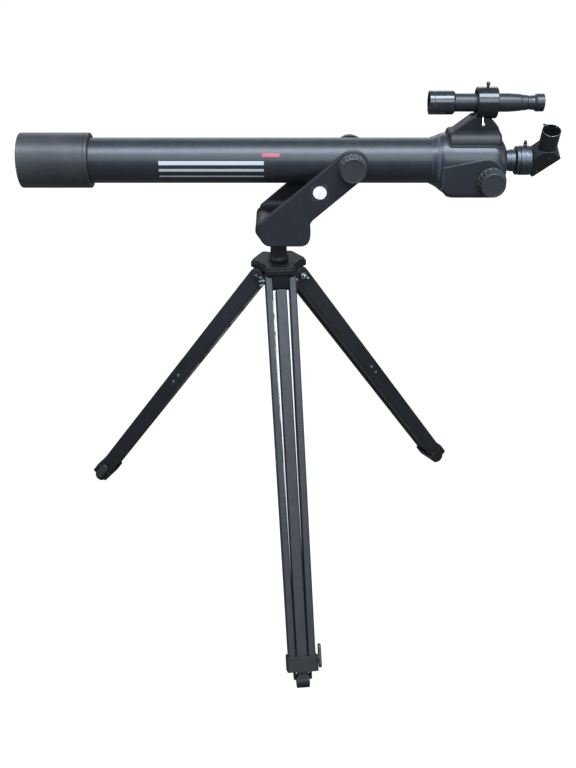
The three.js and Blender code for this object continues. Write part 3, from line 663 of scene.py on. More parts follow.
def objective():
    e = extent("objective_cell")
    seat = e.x0 + 7
    points = [
        (33.3, e.x0), (36.9, e.x0), (36.9, e.x1), (TUBE_R + 0.3, e.x1), (TUBE_R + 0.3, TUBE.x0 - 1),
        (28, TUBE.x0 - 1), (28, TUBE.x0 - 6.5), (30.4, TUBE.x0 - 6.5), (30.4, seat), (33.3, seat),
    ]
    cell = lathe("objective_cell_body", rounded(points, 0.4), centre=on_axis())
    stand_in(cell, "objective_cell", INNER_BLACK)
    crown, flint = extent("objective_crown"), extent("objective_flint")
    sag, radius = 2.2, (crown.z1 - crown.z0) / 2
    lens("objective_crown_lens", "objective_crown", crown.x0 + sag, -sag, crown.x1 - sag, sag, radius)
    lens("objective_flint_lens", "objective_flint", flint.x0, sag, flint.x1, -0.6, radius)
    ring = extent("lens_ring")
    steps = [
        (28, ring.x0 + 3), (28.6, ring.x0), (33, ring.x0), (33, ring.x1), (28, ring.x1),
    ]
    stand_in(lathe("lens_ring_turned", rounded(steps, 0.3), centre=on_axis()), "lens_ring")


def pivot_inserts():
    for node, side in (("pivot_insert_near", -1), ("pivot_insert_far", 1)):
        e = extent(node)
        outer = max(abs(e.y0), abs(e.y1)) * side
        inner, flange = 27 * side, (TUBE_R + 0.4) * side
        points = [(4.05, inner), (6, inner), (6, flange), (9, flange), (9, outer), (4.05, outer)]
        disc = lathe(node + "_turned", rounded(points, 0.3), "Y", (e.cx, 0, e.cz), facets=64)
        stand_in(disc, node)


# ---------- focuser ----------
HOUSING = extent("focuser_housing")
HOUSING_STATIONS = [
    # from the front, half width, top, bottom, squareness below
    (-7.5, 32.8, 32.8, 32.8, 2),
    (1, 35.4, 35.8, 36.6, 2.2),
    (10.5, 39.0, 39.6, 43.3, 3),
    (20, 39.6, 38.4, 45.5, 4),
    (80, 39.6, 38, 45.5, 4),
    (88, 38.6, 35.6, 43.5, 3.6),
    (95, 35, 30, 39, 3),
    (100, 28, 20, 31, 2.6),
]
FLARE_START = HOUSING_STATIONS[0][0]
COLLAR_SEAMS = (1.5, 3.5)


def station_at(distance):
    """The housing's cross-section numbers between two stations."""
    for last, here in zip(HOUSING_STATIONS, HOUSING_STATIONS[1:]):
        if distance <= here[0]:
            share = (distance - last[0]) / (here[0] - last[0])
            return [a + (b - a) * share for a, b in zip(last, here)]
    return list(HOUSING_STATIONS[-1])


def softened_station(distance, reach=3.5):
    """The cross-section with the bends between stations eased."""
    length = HOUSING_STATIONS[-1][0]
    reach = min(reach, distance - FLARE_START, length - distance)
    samples = [station_at(distance + reach * k / 4) for k in range(-4, 5)]
    return [sum(values) / len(samples) for values in zip(*samples)]


def housing_ring(distance, grow, facets):
    _, half, top, bottom, square = softened_station(distance)
    if any(abs(distance - seam) < 0.35 for seam in COLLAR_SEAMS):
        grow -= 0.6
    ring = []
    for k in range(facets):
        angle = 2 * math.pi * (k + 0.5) / facets
        c, s = math.cos(angle), math.sin(angle)
        power = 2 / square if s < 0 else 1
        y = math.copysign(abs(c) ** power, c) * (half + grow)
        z = math.copysign(abs(s) ** power, s) * ((bottom if s < 0 else top) + grow)
        ring.append((HOUSING.x0 + distance, y, AXIS_Z + z))
    return ring


def housing_skin(name, grow, start=FLARE_START, end=100.0, facets=128):
    fine = [start + 0.4 * k for k in range(int((end - start) / 0.4) + 1)]
    kept = [d for i, d in enumerate(fine) if d < 8 or i % 5 == 0 or end - d < 0.1]
    return loft(name, [housing_ring(d, grow, facets) for d in kept])


TUCK_RISE, TUCK_REACH = 5, 8  # how the cover's lower front corner curves into the flare


def side_panel(name, side):
    """The flat cover on one side: a J-shaped section whose upper edge is the parting line."""
    face, lip, foot_round = 41.5, 0.9, 9.0
    front, peak, rear = (7.6, 1.1), (62, 11.8), (93, -6)
    line = [front]
    line += [(front[0] + (peak[0] - front[0]) * k / 8, front[1] + (peak[1] - front[1]) * k / 8)
             for k in range(1, 9)]
    line += curve_through(peak, (84, 15.5), rear, 14)
    rings = []
    for i, (x, top) in enumerate(line):
        tuck = TUCK_RISE * max(0, 1 - (x - front[0]) / TUCK_REACH)
        bottom = 0.9 - softened_station(x)[3] + tuck
        shrink = {0: lip, 1: 0.0, len(line) - 1: lip}.get(i, 0.0)
        outer = face - shrink
        section = [(28, top), (outer - lip, top), (outer - 0.3 * lip, top - 0.3 * lip), (outer, top - lip)]
        centre = (outer - foot_round, bottom + foot_round)
        section += [(centre[0] + foot_round * math.cos(a), centre[1] - foot_round * math.sin(a))
                    for a in [math.pi / 2 * k / 7 for k in range(8)]]
        section += [(28, bottom)]
        rings.append([(HOUSING.x0 + x, side * y, AXIS_Z + z) for y, z in section])
    return loft(name, rings)


def focuser_housing():
    body = housing_skin("focuser_housing_body", 0)
    fuse(body, side_panel("near", -1), side_panel("far", 1))
    hollow = housing_skin("hollow", -3, 6, 94, 64)
    mouth_front = HOUSING.x0 + FLARE_START - 2
    mouth = rod("mouth", TUBE_R + 0.3, mouth_front, HOUSING.x0 + 14, centre=on_axis())
    bore = rod("bore", 15.1, HOUSING.x0 + 30, HOUSING.x1 + 2, centre=on_axis(), facets=96)
    shaft = rod("shaft", 2.6, -60, 60, axis="Y", centre=(PINION.cx, 0, PINION.cz))
    cut(body, hollow, mouth, bore, shaft)
    stand_in(body, "focuser_housing", HOUSING_BLACK)


def drawtube():
    e = extent("drawtube")
    r = (e.z1 - e.z0) / 2
    barrel = tube("drawtube_barrel", r - 1.5, r, e.x0, e.x1, centre=on_axis(), facets=96)
    slot = block("slot", e.x0 + 4, e.x1 - 10, -3.3, 3.3, AXIS_Z - 20, AXIS_Z - 10)
    stand_in(cut(barrel, slot), "drawtube")


def eyepiece_collar():
    e = extent("eyepiece_collar")
    r = (e.z1 - e.z0) / 2
    points = [
        (15, e.x0), (15.5, e.x0), (15.6, e.x0 + 5.5), (20.4, e.x0 + 8), (20.4, e.x0 + 10.5),
        (18.8, e.x0 + 10.7), (18.8, e.x0 + 12.8), (r, e.x0 + 13), (r, e.x1 - 1.4), (r - 1.4, e.x1),
        (12.45, e.x1), (12.45, e.x0 + 12), (15, e.x0 + 12),
    ]
    radii = [0.1, 0.1, 0.8, 0.5, 0.5, 0.1, 0.1, 0.5, 0.8, 0.3, 0.3, 0.1, 0.1]
    ring = lathe("eyepiece_collar_turned", rounded(points, radii), centre=on_axis())
    hole = rod("hole", 2, 8, 30, axis="Z", centre=(e.x0 + 20, 0, AXIS_Z))
    stand_in(cut(ring, hole), "eyepiece_collar")


def collar_screw():
    e = extent("collar_screw")
    neck = e.z0 + 8.8
    points = [(0, e.z0), (1.7, e.z0), (1.7, neck), (2.9, neck), (2.9, neck + 1.4), (2.3, neck + 1.8),
              (2.3, neck + 2.4), (2.8, neck + 2.8), (1.7, e.z1), (0, e.z1)]
    outline = rounded(points, 0.35, closed=False, steps=3)
    ribbed = [(p.x, p.y, 0.3 if p.y > neck + 2.6 and p.x > 1.5 else 0) for p in outline]
    screw = lathe("collar_screw_turned", ribbed, "Z", (e.cx, 0, 0), facets=120, grooves=12)
    stand_in(screw, "collar_screw")


def knob(node, flange, flutes, dish=0.5):
    """A fluted knob: a smooth flange against the part behind, a grooved skirt and a dished face."""
    e = extent(node)
    side = 1 if e.cy > 0 else -1
    back, face = sorted((abs(e.y0), abs(e.y1)))
    back = max(back, flange.back)
    r = flange.face_r
    outline = [
        (0, back, 0), (flange.r - 1, back, 0), (flange.r, back + 0.8, 0), (flange.r, back + 2.2, 0),
        (flange.r - 0.4, back + 2.9, 0.2), (flange.r - 0.9, back + 3.4, 1.6),
        (r + 0.9, face - 4.2, 1.6), (r + 0.6, face - 3.2, 0.9), (r + 0.2, face - 2.4, 0.1),
        (r, face - 1.2, 0), (r - 0.35, face - 0.45, 0), (r - 1.0, face - 0.05, 0),
        (r - 1.8, face, 0), (r - 2.6, face - 0.25, 0), (r - 3.4, face - dish, 0),
        (r * 0.4, face - dish, 0), (0, face - dish, 0),
    ]
    placed = [(a, side * b, c) for a, b, c in outline]
    centre = (e.cx, 0, e.cz)
    body = lathe(node + "_fluted", placed, "Y", centre, facets=flutes * 12, grooves=flutes)
    return body, side, centre


def focus_knobs():
    style = SimpleNamespace(r=20.8, face_r=17.3, back=43.5)
    for node in ("focus_knob_near", "focus_knob_far"):
        body, side, centre = knob(node, style, 18)
        bore = rod("bore", 2.7, side * 40, side * 51, axis="Y", centre=centre)
        stand_in(cut(body, bore), node, sharp=50)


# ---------- diagonal ----------
HOLDER_UP = MOUNT_AXIS["eyepiece_rim"]
RIM = MOUNT_AT["eyepiece_rim"]
FOLD_X = RIM.x  # where the axis turns
DIAGONAL_HALF = 14.4
HOLDER_R = 13.2
HOLDER_BORE_R = 12.35
HOLDER_END = (RIM - Vector((FOLD_X, 0, AXIS_Z))).dot(HOLDER_UP)  # along the turned axis
HOLDER_SCREW = SimpleNamespace(at=HOLDER_END - 4, turn=112)
ROLL = math.atan2(-HOLDER_UP.y, HOLDER_UP.z)  # of the diagonal, towards the near side
ROLLED = Matrix.Translation((0, 0, AXIS_Z)) @ Matrix.Rotation(ROLL, 4, "X")
TO_HOLDER = ROLLED @ Matrix.Translation((FOLD_X, 0, 0))


def diagonal_nose():
    e = extent("diagonal_nose")
    stand_in(tube("diagonal_nose_tube", 11, 12.2, e.x0, e.x1, 0.3, centre=on_axis()), "diagonal_nose")


def diagonal_housing():
    front = extent("diagonal_housing").x0
    outline = [(0, 15), (9.3, 24.5), (11.8, 26), (26.3, 26), (38.3, 15), (4.3, -19), (0, -15.5)]
    side_view = rounded([(front + x, z) for x, z in outline], [2, 2, 2.5, 2, 0.8, 1.2, 1.0])
    body = prism("diagonal_housing_body", side_view, "XZ", -DIAGONAL_HALF, DIAGONAL_HALF, 0.7,
                 move=ROLLED)
    light_path = rod("entry", 10.6, front - 5, FOLD_X, facets=64, move=ROLLED)
    fuse(light_path, rod("exit", 10.6, -3, 40, axis="Z", move=TO_HOLDER, facets=64))
    cut(light_path, block("behind", -40, 40, -30, 30, -60, 0, move=mirror_place()))
    cut(
        body,
        light_path,
        rod("socket", 12.5, front - 5, front + 7.8, centre=on_axis(), facets=96),
        rod("seat", HOLDER_R + 0.1, 12, 40, axis="Z", move=TO_HOLDER, facets=96),
        block("pocket", -16, 16, -12.4, 12.4, -2, 1, move=mirror_place()),
    )
    stand_in(body, "diagonal_housing", DIAGONAL_BLACK)


def mirror_place():
    """The frame of the mirror, which faces halfway between the two axes."""
    return TO_HOLDER @ Matrix.Rotation(math.radians(-45), 4, "Y")


def diagonal_pins():
    """Small rivets that hold the cheeks of the diagonal."""
    half = DIAGONAL_HALF
    for i, (side, x, z) in enumerate(((-1, 2, 15.5), (1, 2, 15.5), (-1, -11, -8), (1, -11, -8))):
        start, end = sorted((side * (half - 0.5), side * (half + 0.3)))
        where = TO_HOLDER @ Matrix.Translation((x, 0, z))
        pin = rod(f"diagonal_pin_{i + 1}", 0.7, start, end, 0.2, axis="Y", move=where)
        fitting(pin, "diagonal_housing", FINISH["bright_steel"])


def eyepiece_holder():
    start, end = 12.3, HOLDER_END
    r, bore = HOLDER_R, HOLDER_BORE_R
    points = [(bore, start), (r, start), (r, end), (bore, end)]
    barrel = lathe("eyepiece_holder_barrel", rounded(points, 0.25), "Z", move=TO_HOLDER)
    hole = rod("hole", 1.9, 6, 20, move=holder_screw_place(), facets=24)
    stand_in(cut(barrel, hole), "eyepiece_holder", DIAGONAL_BLACK)
    name = "eyepiece_holder_rim"
    rim = tube(name, r - 0.38, r + 0.04, end - 0.7, end + 0.14, 0.12, axis="Z", move=TO_HOLDER)
    fitting(rim, "eyepiece_holder", FINISH["bright_steel"])


def holder_screw_place():
    up = Matrix.Translation((0, 0, HOLDER_SCREW.at))
    return TO_HOLDER @ up @ Matrix.Rotation(math.radians(HOLDER_SCREW.turn), 4, "Z")


def holder_screw():
    points = [(0, 12.4), (1.6, 12.4), (1.6, 14.6), (2.6, 14.6), (2.6, 16.6), (1.8, 17.2), (1.1, 20.5),
              (0, 20.5)]
    outline = [(p.x, p.y, 0.25 if 14.8 < p.y < 16.8 else 0) for p in rounded(points, 0.3, closed=False)]
    screw = lathe("holder_screw_turned", outline, move=holder_screw_place(), facets=96, grooves=12)
    stand_in(screw, "holder_screw")


# ---------- finder ----------
BRACKET = extent("finder_bracket")
RING_FRONT, RING_REAR = 278.0, 307.0
RING_R = 21.5
RING_BORE_R = 17.0
FINDER_SCREWS = {
    # how far each screw is turned round the finder from +Y
    side: SimpleNamespace(x=extent("finder_screw_" + side).cx, turn=turn)
    for side, turn in (("top", 90), ("near", 231), ("far", -51))
}


def screw_place(side):
    """From a screw drawn up the z axis to its place round the finder."""
    screw = FINDER_SCREWS[side]
    lift = Matrix.Translation((screw.x, 0, FINDER_Z))
    return lift @ Matrix.Rotation(math.radians(screw.turn - 90), 4, "X")


def bracket_pad(name, grow, fillet):
    low, high = AXIS_Z + 12, AXIS_Z + 45
    section = rounded_box(-27 - grow, 27 + grow, low, high, [0, 0, 16, 16], steps=12)
    return prism(name, section, "YZ", BRACKET.x0 - grow, BRACKET.x1 + grow, fillet, steps=6)


def finder_bracket():
    pad = bracket_pad("finder_bracket_body", 0, 5.0)
    x0, x1 = BRACKET.x0, BRACKET.x1
    points = [(x0 + 1, 41), (x0 + 34, 66.5), (x0 + 59, 62), (x0 + 70, 51), (x1 - 0.5, 41)]
    side_view = rounded([(x, AXIS_Z + z) for x, z in points], [1, 7, 7, 4, 1])
    rib = prism("rib", side_view, "XZ", -12, 12, 2.2, steps=4)
    ring = tube("ring", RING_BORE_R - 0.5, RING_R, RING_FRONT, RING_REAR, 1.5, centre=(0, 0, FINDER_Z))
    cut(pad, housing_skin("clearance", 0.8))
    fuse(pad, rib, ring)
    bore = [
        (0, RING_FRONT - 6), (20.6, RING_FRONT - 6), (19.4, RING_FRONT), (RING_BORE_R, RING_FRONT + 3.2),
        (RING_BORE_R, RING_REAR - 1), (18, RING_REAR + 3), (0, RING_REAR + 3),
    ]
    cut(pad, lathe("bore", bore, centre=(0, 0, FINDER_Z)))
    holes = [rod("hole", 1.8, 10, 44, axis="Z", move=screw_place(side)) for side in FINDER_SCREWS]
    stand_in(cut(pad, *holes), "finder_bracket", bracket_black())


def bracket_gap_shade():
    """A thin dark band round the foot of the bracket: painted shade for the gap and recess under the foot."""
    seat = bracket_pad("finder_bracket_gap_shade", 2.0, 5.0)
    cut(seat, housing_skin("inside", 0.0))
    combine(seat, [housing_skin("outside", 0.8)], "INTERSECT")
    fitting(seat, "finder_bracket", GAP_SHADE)


def finder_screws():
    tip = 13.1
    for name in FINDER_SCREWS:
        node = "finder_screw_" + name
        place = screw_place(name)
        if name == "top":
            shaft = 1.5
            head = [(shaft, RING_R + 0.2), (2.0, RING_R + 0.6), (2.0, RING_R + 2.5)]
            ball = circle(2.9, (0, RING_R + 4.6), 14, -0.8, math.pi / 2)
            head += [(p.x, p.y) for p in ball]
        else:
            shaft = 1.0
            start = RING_R + 9.5
            head = [(shaft, start), (2.8, start + 0.4), (2.8, start + 5), (0, start + 5)]
            head = [(p.x, p.y) for p in rounded(head, 0.5, closed=False)]
        profile = [(0, tip), (shaft - 0.4, tip), (shaft, tip + 0.5)] + head
        profile[-1] = (0, profile[-1][1])
        screw = lathe(node + "_turned", profile, "Z", move=place)
        if name != "top":
            cut(screw, block("slot", -0.7, 0.7, -4, 4, start + 3.4, start + 6, move=place))
        stand_in(screw, node)


def finder_optics():
    above = {"centre": (0, 0, FINDER_Z)}
    cell = extent("finder_cell")
    r = (cell.z1 - cell.z0) / 2
    points = [
        (14.6, cell.x0), (r, cell.x0), (r, cell.x0 + 6.2), (r - 0.5, cell.x0 + 6.5), (r - 0.5, cell.x0 + 7.1),
        (r, cell.x0 + 7.4), (r, cell.x1 - 2.4), (14.2, cell.x1), (12.9, cell.x1), (12.9, cell.x1 - 4),
        (10.9, cell.x1 - 4), (10.9, cell.x0 + 26.4), (14.6, cell.x0 + 26.4),
    ]
    radii = [0.4, 3.4, 0.2, 0.1, 0.1, 0.4, 1.2, 0.6, 0.2, 0.2, 0.2, 0.2, 0.2]
    body = lathe("finder_cell_turned", rounded(points, radii, steps=6), **above)
    stand_in(body, "finder_cell", FINDER_GLOSS)

    barrel = extent("finder_tube")
    x0, x1 = barrel.x0, barrel.x1
    outside = [(12.4, x0), (12.4, x0 + 36), (12.6, x0 + 66), (12.6, x0 + 80), (11.5, x0 + 95)]
    inside = [(8.6, x1), (8.6, x1 - 9), (10.9, x0 + 86), (10.9, x0)]
    ribs = [(11.0, x1 - 8), (11.0, x1 - 7.4), (10.5, x1 - 7.2), (10.5, x1 - 6), (10.8, x1 - 5.8),
            (10.8, x1 - 4.4), (10.3, x1 - 4.2), (10.3, x1 - 3), (10.5, x1 - 2.8), (10.4, x1)]
    profile = rounded(outside + ribs + inside, 3.0, steps=3)
    stand_in(lathe("finder_tube_barrel", profile, **above), "finder_tube")

    eye = extent("finder_eyepiece")
    x0, x1 = eye.x0, eye.x1
    points = [
        (5, x0), (9.8, x0), (9.8, x0 + 2.2), (9.2, x0 + 2.6), (9.2, x0 + 4), (9.9, x0 + 4.4),
        (9.9, x0 + 9.4), (12.2, x0 + 12.4), (12.2, x1), (9, x1), (6.6, x1 - 5.6), (6.6, x0 + 12.7),
        (5, x0 + 12.7),
    ]
    radii = [0.2, 0.4, 0.2, 0.2, 0.2, 0.4, 1.2, 1.4, 1.0, 0.8, 0.3, 0.2, 0.2]
    stand_in(lathe("finder_eyepiece_turned", rounded(points, radii), **above), "finder_eyepiece")

    lift = FINDER_Z - AXIS_Z
    front, rear = extent("finder_lens"), extent("finder_eye_lens")
    lens("finder_front_lens", "finder_lens", front.x0 + 1, -1, front.x1 + 0.0, -0.4, 14.2, lift)
    lens("finder_rear_lens", "finder_eye_lens", rear.x0 + 0.2, -0.2, rear.x1 - 0.6, 0.6, 6.3, lift)


# ---------- fork ----------
ARM_R = 23.0
ARM_RISE = math.radians(41.5)
ARM_OUT, ARM_IN = 45.0, 37.0
TROUGH_FLOOR = -84.0  # from the optical axis


def fork_outline():
    """Side view of an arm and the box below it."""
    middle = (PIVOT.cx, PIVOT.cz - AXIS_Z)
    points = [tuple(p) for p in
              circle(ARM_R, middle, 40, ARM_RISE - math.pi / 2, ARM_RISE + math.pi / 2)]
    points.append((-26.6, -80))
    points += curve_through((-26.6, -80), (-28.9, -82), (-28.7, -88), 6)
    points += curve_through((-28.7, -88), (-28.4, -104), (-23.9, -108.6), 10)
    points += curve_through((-23.9, -108.6), (-19, -115.4), (-12, -115.4), 6)
    points.append((32, -115.4))
    points += curve_through((32, -115.4), (46.5, -115.4), (47, -97), 12)
    points += curve_through((47, -97), (47.2, -90), (46.4, -84), 3)
    points += curve_through((46.4, -84), (46.2, -79.4), (50, -75.4), 6)
    return [(x, AXIS_Z + z) for x, z in points]


def trough():
    """What is cut out between the arms. Its floor rolls over at both ends."""
    stations = [-60, -36]
    stations += [-34 + 15 * k / 12 for k in range(13)]
    stations += [33 + 25 * k / 12 for k in range(13)] + [90, 170]
    rings = []
    for x in stations:
        drop = 0.0
        if x < -19:
            drop = 11 * (1 - math.sqrt(max(0.0, 1 - min(1, (-19 - x) / 15) ** 2)))
        if x > 40:
            drop = 5 * (1 - math.sqrt(max(0.0, 1 - min(1, (x - 40) / 18) ** 2)))
        floor = TROUGH_FLOOR - drop
        section = rounded_box(-ARM_IN, ARM_IN, floor, 60, [13, 13, 1, 1], steps=10)
        rings.append([(x, p.x, AXIS_Z + p.y) for p in section])
    return loft("trough", rings)


def fork_nose():
    """The rounded end of the web, which bulges forward between the arms."""
    front, top, bottom = -33.8, -80, -113
    corners = [(-5, top), (front, top), (front, -99), (-24, bottom), (-5, bottom)]
    side_view = rounded([(x, AXIS_Z + z) for x, z in corners], [0, 8, 9, 7, 0])
    half = ARM_IN - 3
    return prism("nose", side_view, "XZ", -half, half, 3.0, steps=4)


def fork_yoke():
    body = prism("fork_yoke_casting", fork_outline(), "XZ", -ARM_OUT, ARM_OUT, 1.7, steps=4)
    base = FORK.z0
    bottom = AXIS_Z - 115
    pocket = block("pocket", -18, 38, -38, 38, bottom - 5, bottom + 23, 4)
    cut(pocket, rod("column", 14, bottom - 10, bottom + 30, axis="Z"))
    neck_profile = [(0, base), (15, base), (15, base + 3.2), (13.3, base + 6), (12.5, base + 14),
                    (12.5, bottom + 6), (0, bottom + 6)]
    radii = [0, 0.6, 0.8, 3, 6, 0.5, 0]
    neck = lathe("neck", rounded(neck_profile, radii, closed=False), "Z")
    studs = rod("studs", 4.4, -60, 60, axis="Y", centre=(PIVOT.cx, 0, PIVOT.cz))
    bore = rod("bore", 4.3, base - 1, AXIS_Z - 100, axis="Z")
    fuse(body, fork_nose())
    cut(body, trough(), pocket, studs)
    cut(fuse(body, neck), bore)
    stand_in(body, "fork_yoke", CAST)


def arm_sticker():
    """A plain round sticker on a square of clear film, on the outer face of the near arm."""
    where = Matrix.Translation((59.6, -ARM_OUT, AXIS_Z - 33.8))
    tilt = Matrix.Rotation(math.radians(-10), 4, "Y")
    square = rounded_box(-11.2, 11.2, -10.6, 10.6, 1.5)
    backing = prism("arm_film", square, "XZ", -0.1, 0.2, 0.05, move=where @ tilt)
    fitting(backing, "fork_yoke", FILM, sharp=60)
    disc = rod("arm_sticker", 9.6, -0.24, 0.0, 0.06, axis="Y", move=where, facets=96)
    fitting(disc, "fork_yoke", PAPER)


def altitude_knobs():
    style = SimpleNamespace(r=20.6, face_r=18.2, back=45.5)
    for node in ("altitude_knob_near", "altitude_knob_far"):
        body, side, centre = knob(node, style, 18)
        start, end = sorted((side * 28, side * 47))
        stud = rod("stud", 3.95, start, end, 0.5, axis="Y", centre=centre)
        stand_in(fuse(body, stud), node, sharp=50)


# ---------- tripod head ----------
def leg_azimuth(name):
    foot = MOUNT_AT[name + "_sole"]
    return math.atan2(foot.y, foot.x)


def spun(name):
    return Matrix.Rotation(leg_azimuth(name), 4, "Z")


def hub_slab(name, shrink, low, high, fillet):
    """The lobed plate of the head, or a smaller copy of it."""
    slab = rod(name, 33 - shrink, low, high, fillet, axis="Z")
    for leg in LEGS:
        outline = rounded_box(-10, 38.5 - shrink, -23 + shrink, 23 - shrink, 7, steps=8)
        fuse(slab, prism("lobe", outline, "XY", low, high, fillet, move=spun(leg)))
    return slab


def tripod_hub():
    top = HUB.z1
    body = hub_slab("tripod_hub_casting", 0, top - 11, top - 3.0, 1.0)
    fuse(body, hub_slab("cover", 1.7, top - 6, top, 0.9))
    cut(body, hub_slab("hollow", 3, top - 12, top - 5.5, 0))
    fuse(body, rod("boss", 15, HUB.z0 + 3.5, top - 2, 0.6, axis="Z"))
    for leg in LEGS:
        side_view = [(4, top - 4), (4, 470.5), (36.5, 470.5), (36.5, top - 4)]
        outline = rounded(side_view, [0.2, 5, 6.5, 0.2], steps=6)
        fuse(body, prism("lug", outline, "XZ", -12.2, 12.2, 0.8, move=spun(leg)))
        hinge = spun(leg) @ Matrix.Translation((HINGE.x, 0, HINGE.y))
        cut(body, rod("bolt_hole", 3.3, -30, 30, axis="Y", move=hinge))
    cut(body, rod("bore", 4.3, 460, top + 5, axis="Z"))
    stand_in(body, "tripod_hub", HUB_BLACK)


def azimuth_bolt():
    e = extent("azimuth_bolt")
    points = [(0, e.z0), (7.5, e.z0), (7.5, e.z0 + 7), (4, e.z0 + 10.6), (4, e.z1), (0, e.z1)]
    outline = rounded(points, 0.5, closed=False)
    bolt = lathe("azimuth_bolt_turned", outline, "Z", facets=72)
    cut(bolt, prism("hex", circle(2.6, facets=6), "XY", e.z0 - 1, e.z0 + 3.5, 0))
    stand_in(bolt, "azimuth_bolt")


# ---------- legs ----------
HINGE = Vector((27.0, 484.0))  # distance out from the azimuth axis, and height
FOOT_R = 10.0
SOLE = MOUNT_AT["front_sole"]
FOOT = Vector((math.hypot(SOLE.x, SOLE.y), 9.5))
LEG_LENGTH = (FOOT - HINGE).length
LEG_SPLAY = math.atan2(FOOT.x - HINGE.x, HINGE.y - FOOT.y)
RAIL = SimpleNamespace(width=10.7, depth=25.0, top=12.6, foot=8.8)
RAIL_END = 20 - LEG_LENGTH
INNER = SimpleNamespace(width=16.4, depth=21.0, top=-15.5, end=11.7 - LEG_LENGTH)
CLAMP = SimpleNamespace(top=36 - LEG_LENGTH, bottom=14 - LEG_LENGTH, half_width=22.4, half_depth=15.3)
LOCK_Z = 30.5 - LEG_LENGTH
BRACE_HOLES = (-256, -273)
RAIL_LEAN = math.atan2(RAIL.top - RAIL.foot, -RAIL_END)


def leg_place(name):
    """The matrix of a leg's own axes, in metres."""
    hinge = Matrix.Translation((HINGE.x * MM, 0, HINGE.y * MM))
    return FROM_AXIS @ spun(name) @ hinge @ Matrix.Rotation(-LEG_SPLAY, 4, "Y")


def rail_place(side):
    """From a rail drawn round the hinge to its place beside the middle of the leg."""
    out = Matrix.Translation((0, side * (RAIL.top + RAIL.width / 2), 0))
    return out @ Matrix.Rotation(-side * RAIL_LEAN, 4, "X")


def outer_rail(name, side):
    half = RAIL.depth / 2
    outline = [(-half, RAIL_END), (half, RAIL_END)]
    outline += [tuple(p) for p in circle(half, (0, 0), 24, 0, math.pi)]
    rail = prism(name, outline, "XZ", -RAIL.width / 2, RAIL.width / 2, 2.2, 4, rail_place(side))
    holes = [rod("hole", 1.5, -20, 20, axis="Y", facets=20, move=rail_place(side) @ up_leg(z))
             for z in BRACE_HOLES]
    holes.append(rod("hole", 3.3, -40, 40, axis="Y", facets=32))
    return cut(rail, *holes)


def up_leg(z):
    return Matrix.Translation((0, 0, z))


def inner_rail(name):
    outline = rounded_box(-INNER.depth / 2, INNER.depth / 2, -INNER.width / 2, INNER.width / 2, 2)
    rail = prism(name, outline, "XY", INNER.end, INNER.top, 0.4)
    hollow = block("hollow", -9, 9, -6.7, 6.7, INNER.end + 8, INNER.top + 2)
    return cut(rail, hollow)


def clamp(name):
    c = CLAMP
    outline = rounded_box(-c.half_depth, c.half_depth, -c.half_width, c.half_width, 3)
    body = prism(name, outline, "XY", c.bottom, c.top, 0.8)
    for side in (-1, 1):
        ear = [(-11, c.bottom + 3), (-7, 4 - LEG_LENGTH), (0, 0.5 - LEG_LENGTH), (7, 4 - LEG_LENGTH),
               (11, c.bottom + 3)]
        start, end = sorted((side * 10, side * 13))
        fuse(body, prism("ear", rounded(ear, [0, 3, 6, 3, 0]), "XZ", start, end, 0.5))
    cut(
        body,
        block("pocket", -12.9, 12.9, -20.4, 20.4, RAIL_END - 0.3, c.top + 2),
        block("through", -10.9, 10.9, -8.6, 8.6, c.bottom - 5, c.top),
        rod("hole", 2.8, 0, 40, axis="Y", centre=(0, 0, LOCK_Z)),
    )
    return body


def foot(name):
    half = 9.3
    disc = rod(name, FOOT_R, -half, half, 0.8, axis="Y", facets=96)
    fuse(disc, block("shank", -9.5, 9.5, -7.8, 7.8, 0, 11.4, 1.0))
    for i in range(4):
        angle = math.radians(45 + 90 * i)
        place = (5.4 * math.cos(angle), 0, 5.4 * math.sin(angle))
        cut(disc, rod("hole", 1.3, -20, 20, axis="Y", centre=place, facets=24))
    ground = block("ground", -40, 40, -40, 40, -60, -FOOT.y, move=Matrix.Rotation(LEG_SPLAY, 4, "Y"))
    cut(disc, ground)
    disc.data.transform(Matrix.Translation((0, 0, -LEG_LENGTH * MM)))
    return disc


def lock_screw(name):
    shaft = rod(name, 2.5, INNER.width / 2 + 0.3, 24, 0.2, axis="Y")
    hub = rod("hub", 5, CLAMP.half_width + 0.4, 27, 0.6, axis="Y")
    wing = prism("wing", rounded_box(-6.5, 6.5, -14, 20, 6, steps=8), "XZ", 24.2, 28.4, 1.1)
    eye = rod("eye", 1.8, 20, 32, axis="Y", centre=(0, 0, -10))
    screw = cut(fuse(shaft, hub, wing), eye)
    screw.data.transform(Matrix.Translation((0, 0, LOCK_Z * MM)))
    return screw


def hinge_bolt(name):
    out = RAIL.top + RAIL.width
    profile = [(0, -out - 9.5), (2.4, -out - 9.5), (3, -out - 8.9), (3, out + 0.4), (5.2, out + 0.4),
               (5.2, out + 2.0), (4.4, out + 3.3), (2.6, out + 4.2), (0, out + 4.4)]
    bolt = lathe(name, rounded(profile, 0.3, closed=False), "Y", facets=64)
    cross = [block("cross", -0.6, 0.6, out + 2.8, out + 6, -2.9, 2.9),
             block("cross", -2.9, 2.9, out + 2.8, out + 6, -0.6, 0.6)]
    return cut(bolt, *cross)


def wing_nut(name):
    out = -(RAIL.top + RAIL.width)
    nut = tube(name, 3.25, 5, out - 5.4, out - 0.5, 0.4, axis="Y", facets=64)
    for side in (-1, 1):
        shape = [(3.8 * side, out - 0.9), (8.5 * side, out - 3.4), (9 * side, out - 9),
                 (6.4 * side, out - 9.4), (4.2 * side, out - 5)]
        fuse(nut, prism("wing", rounded(shape, [0.3, 2.5, 1.2, 1.2, 1]), "XY", -1.3, 1.3, 0.5))
    nut.data.transform(Matrix.Rotation(math.radians(70), 4, "Y"))
    return nut


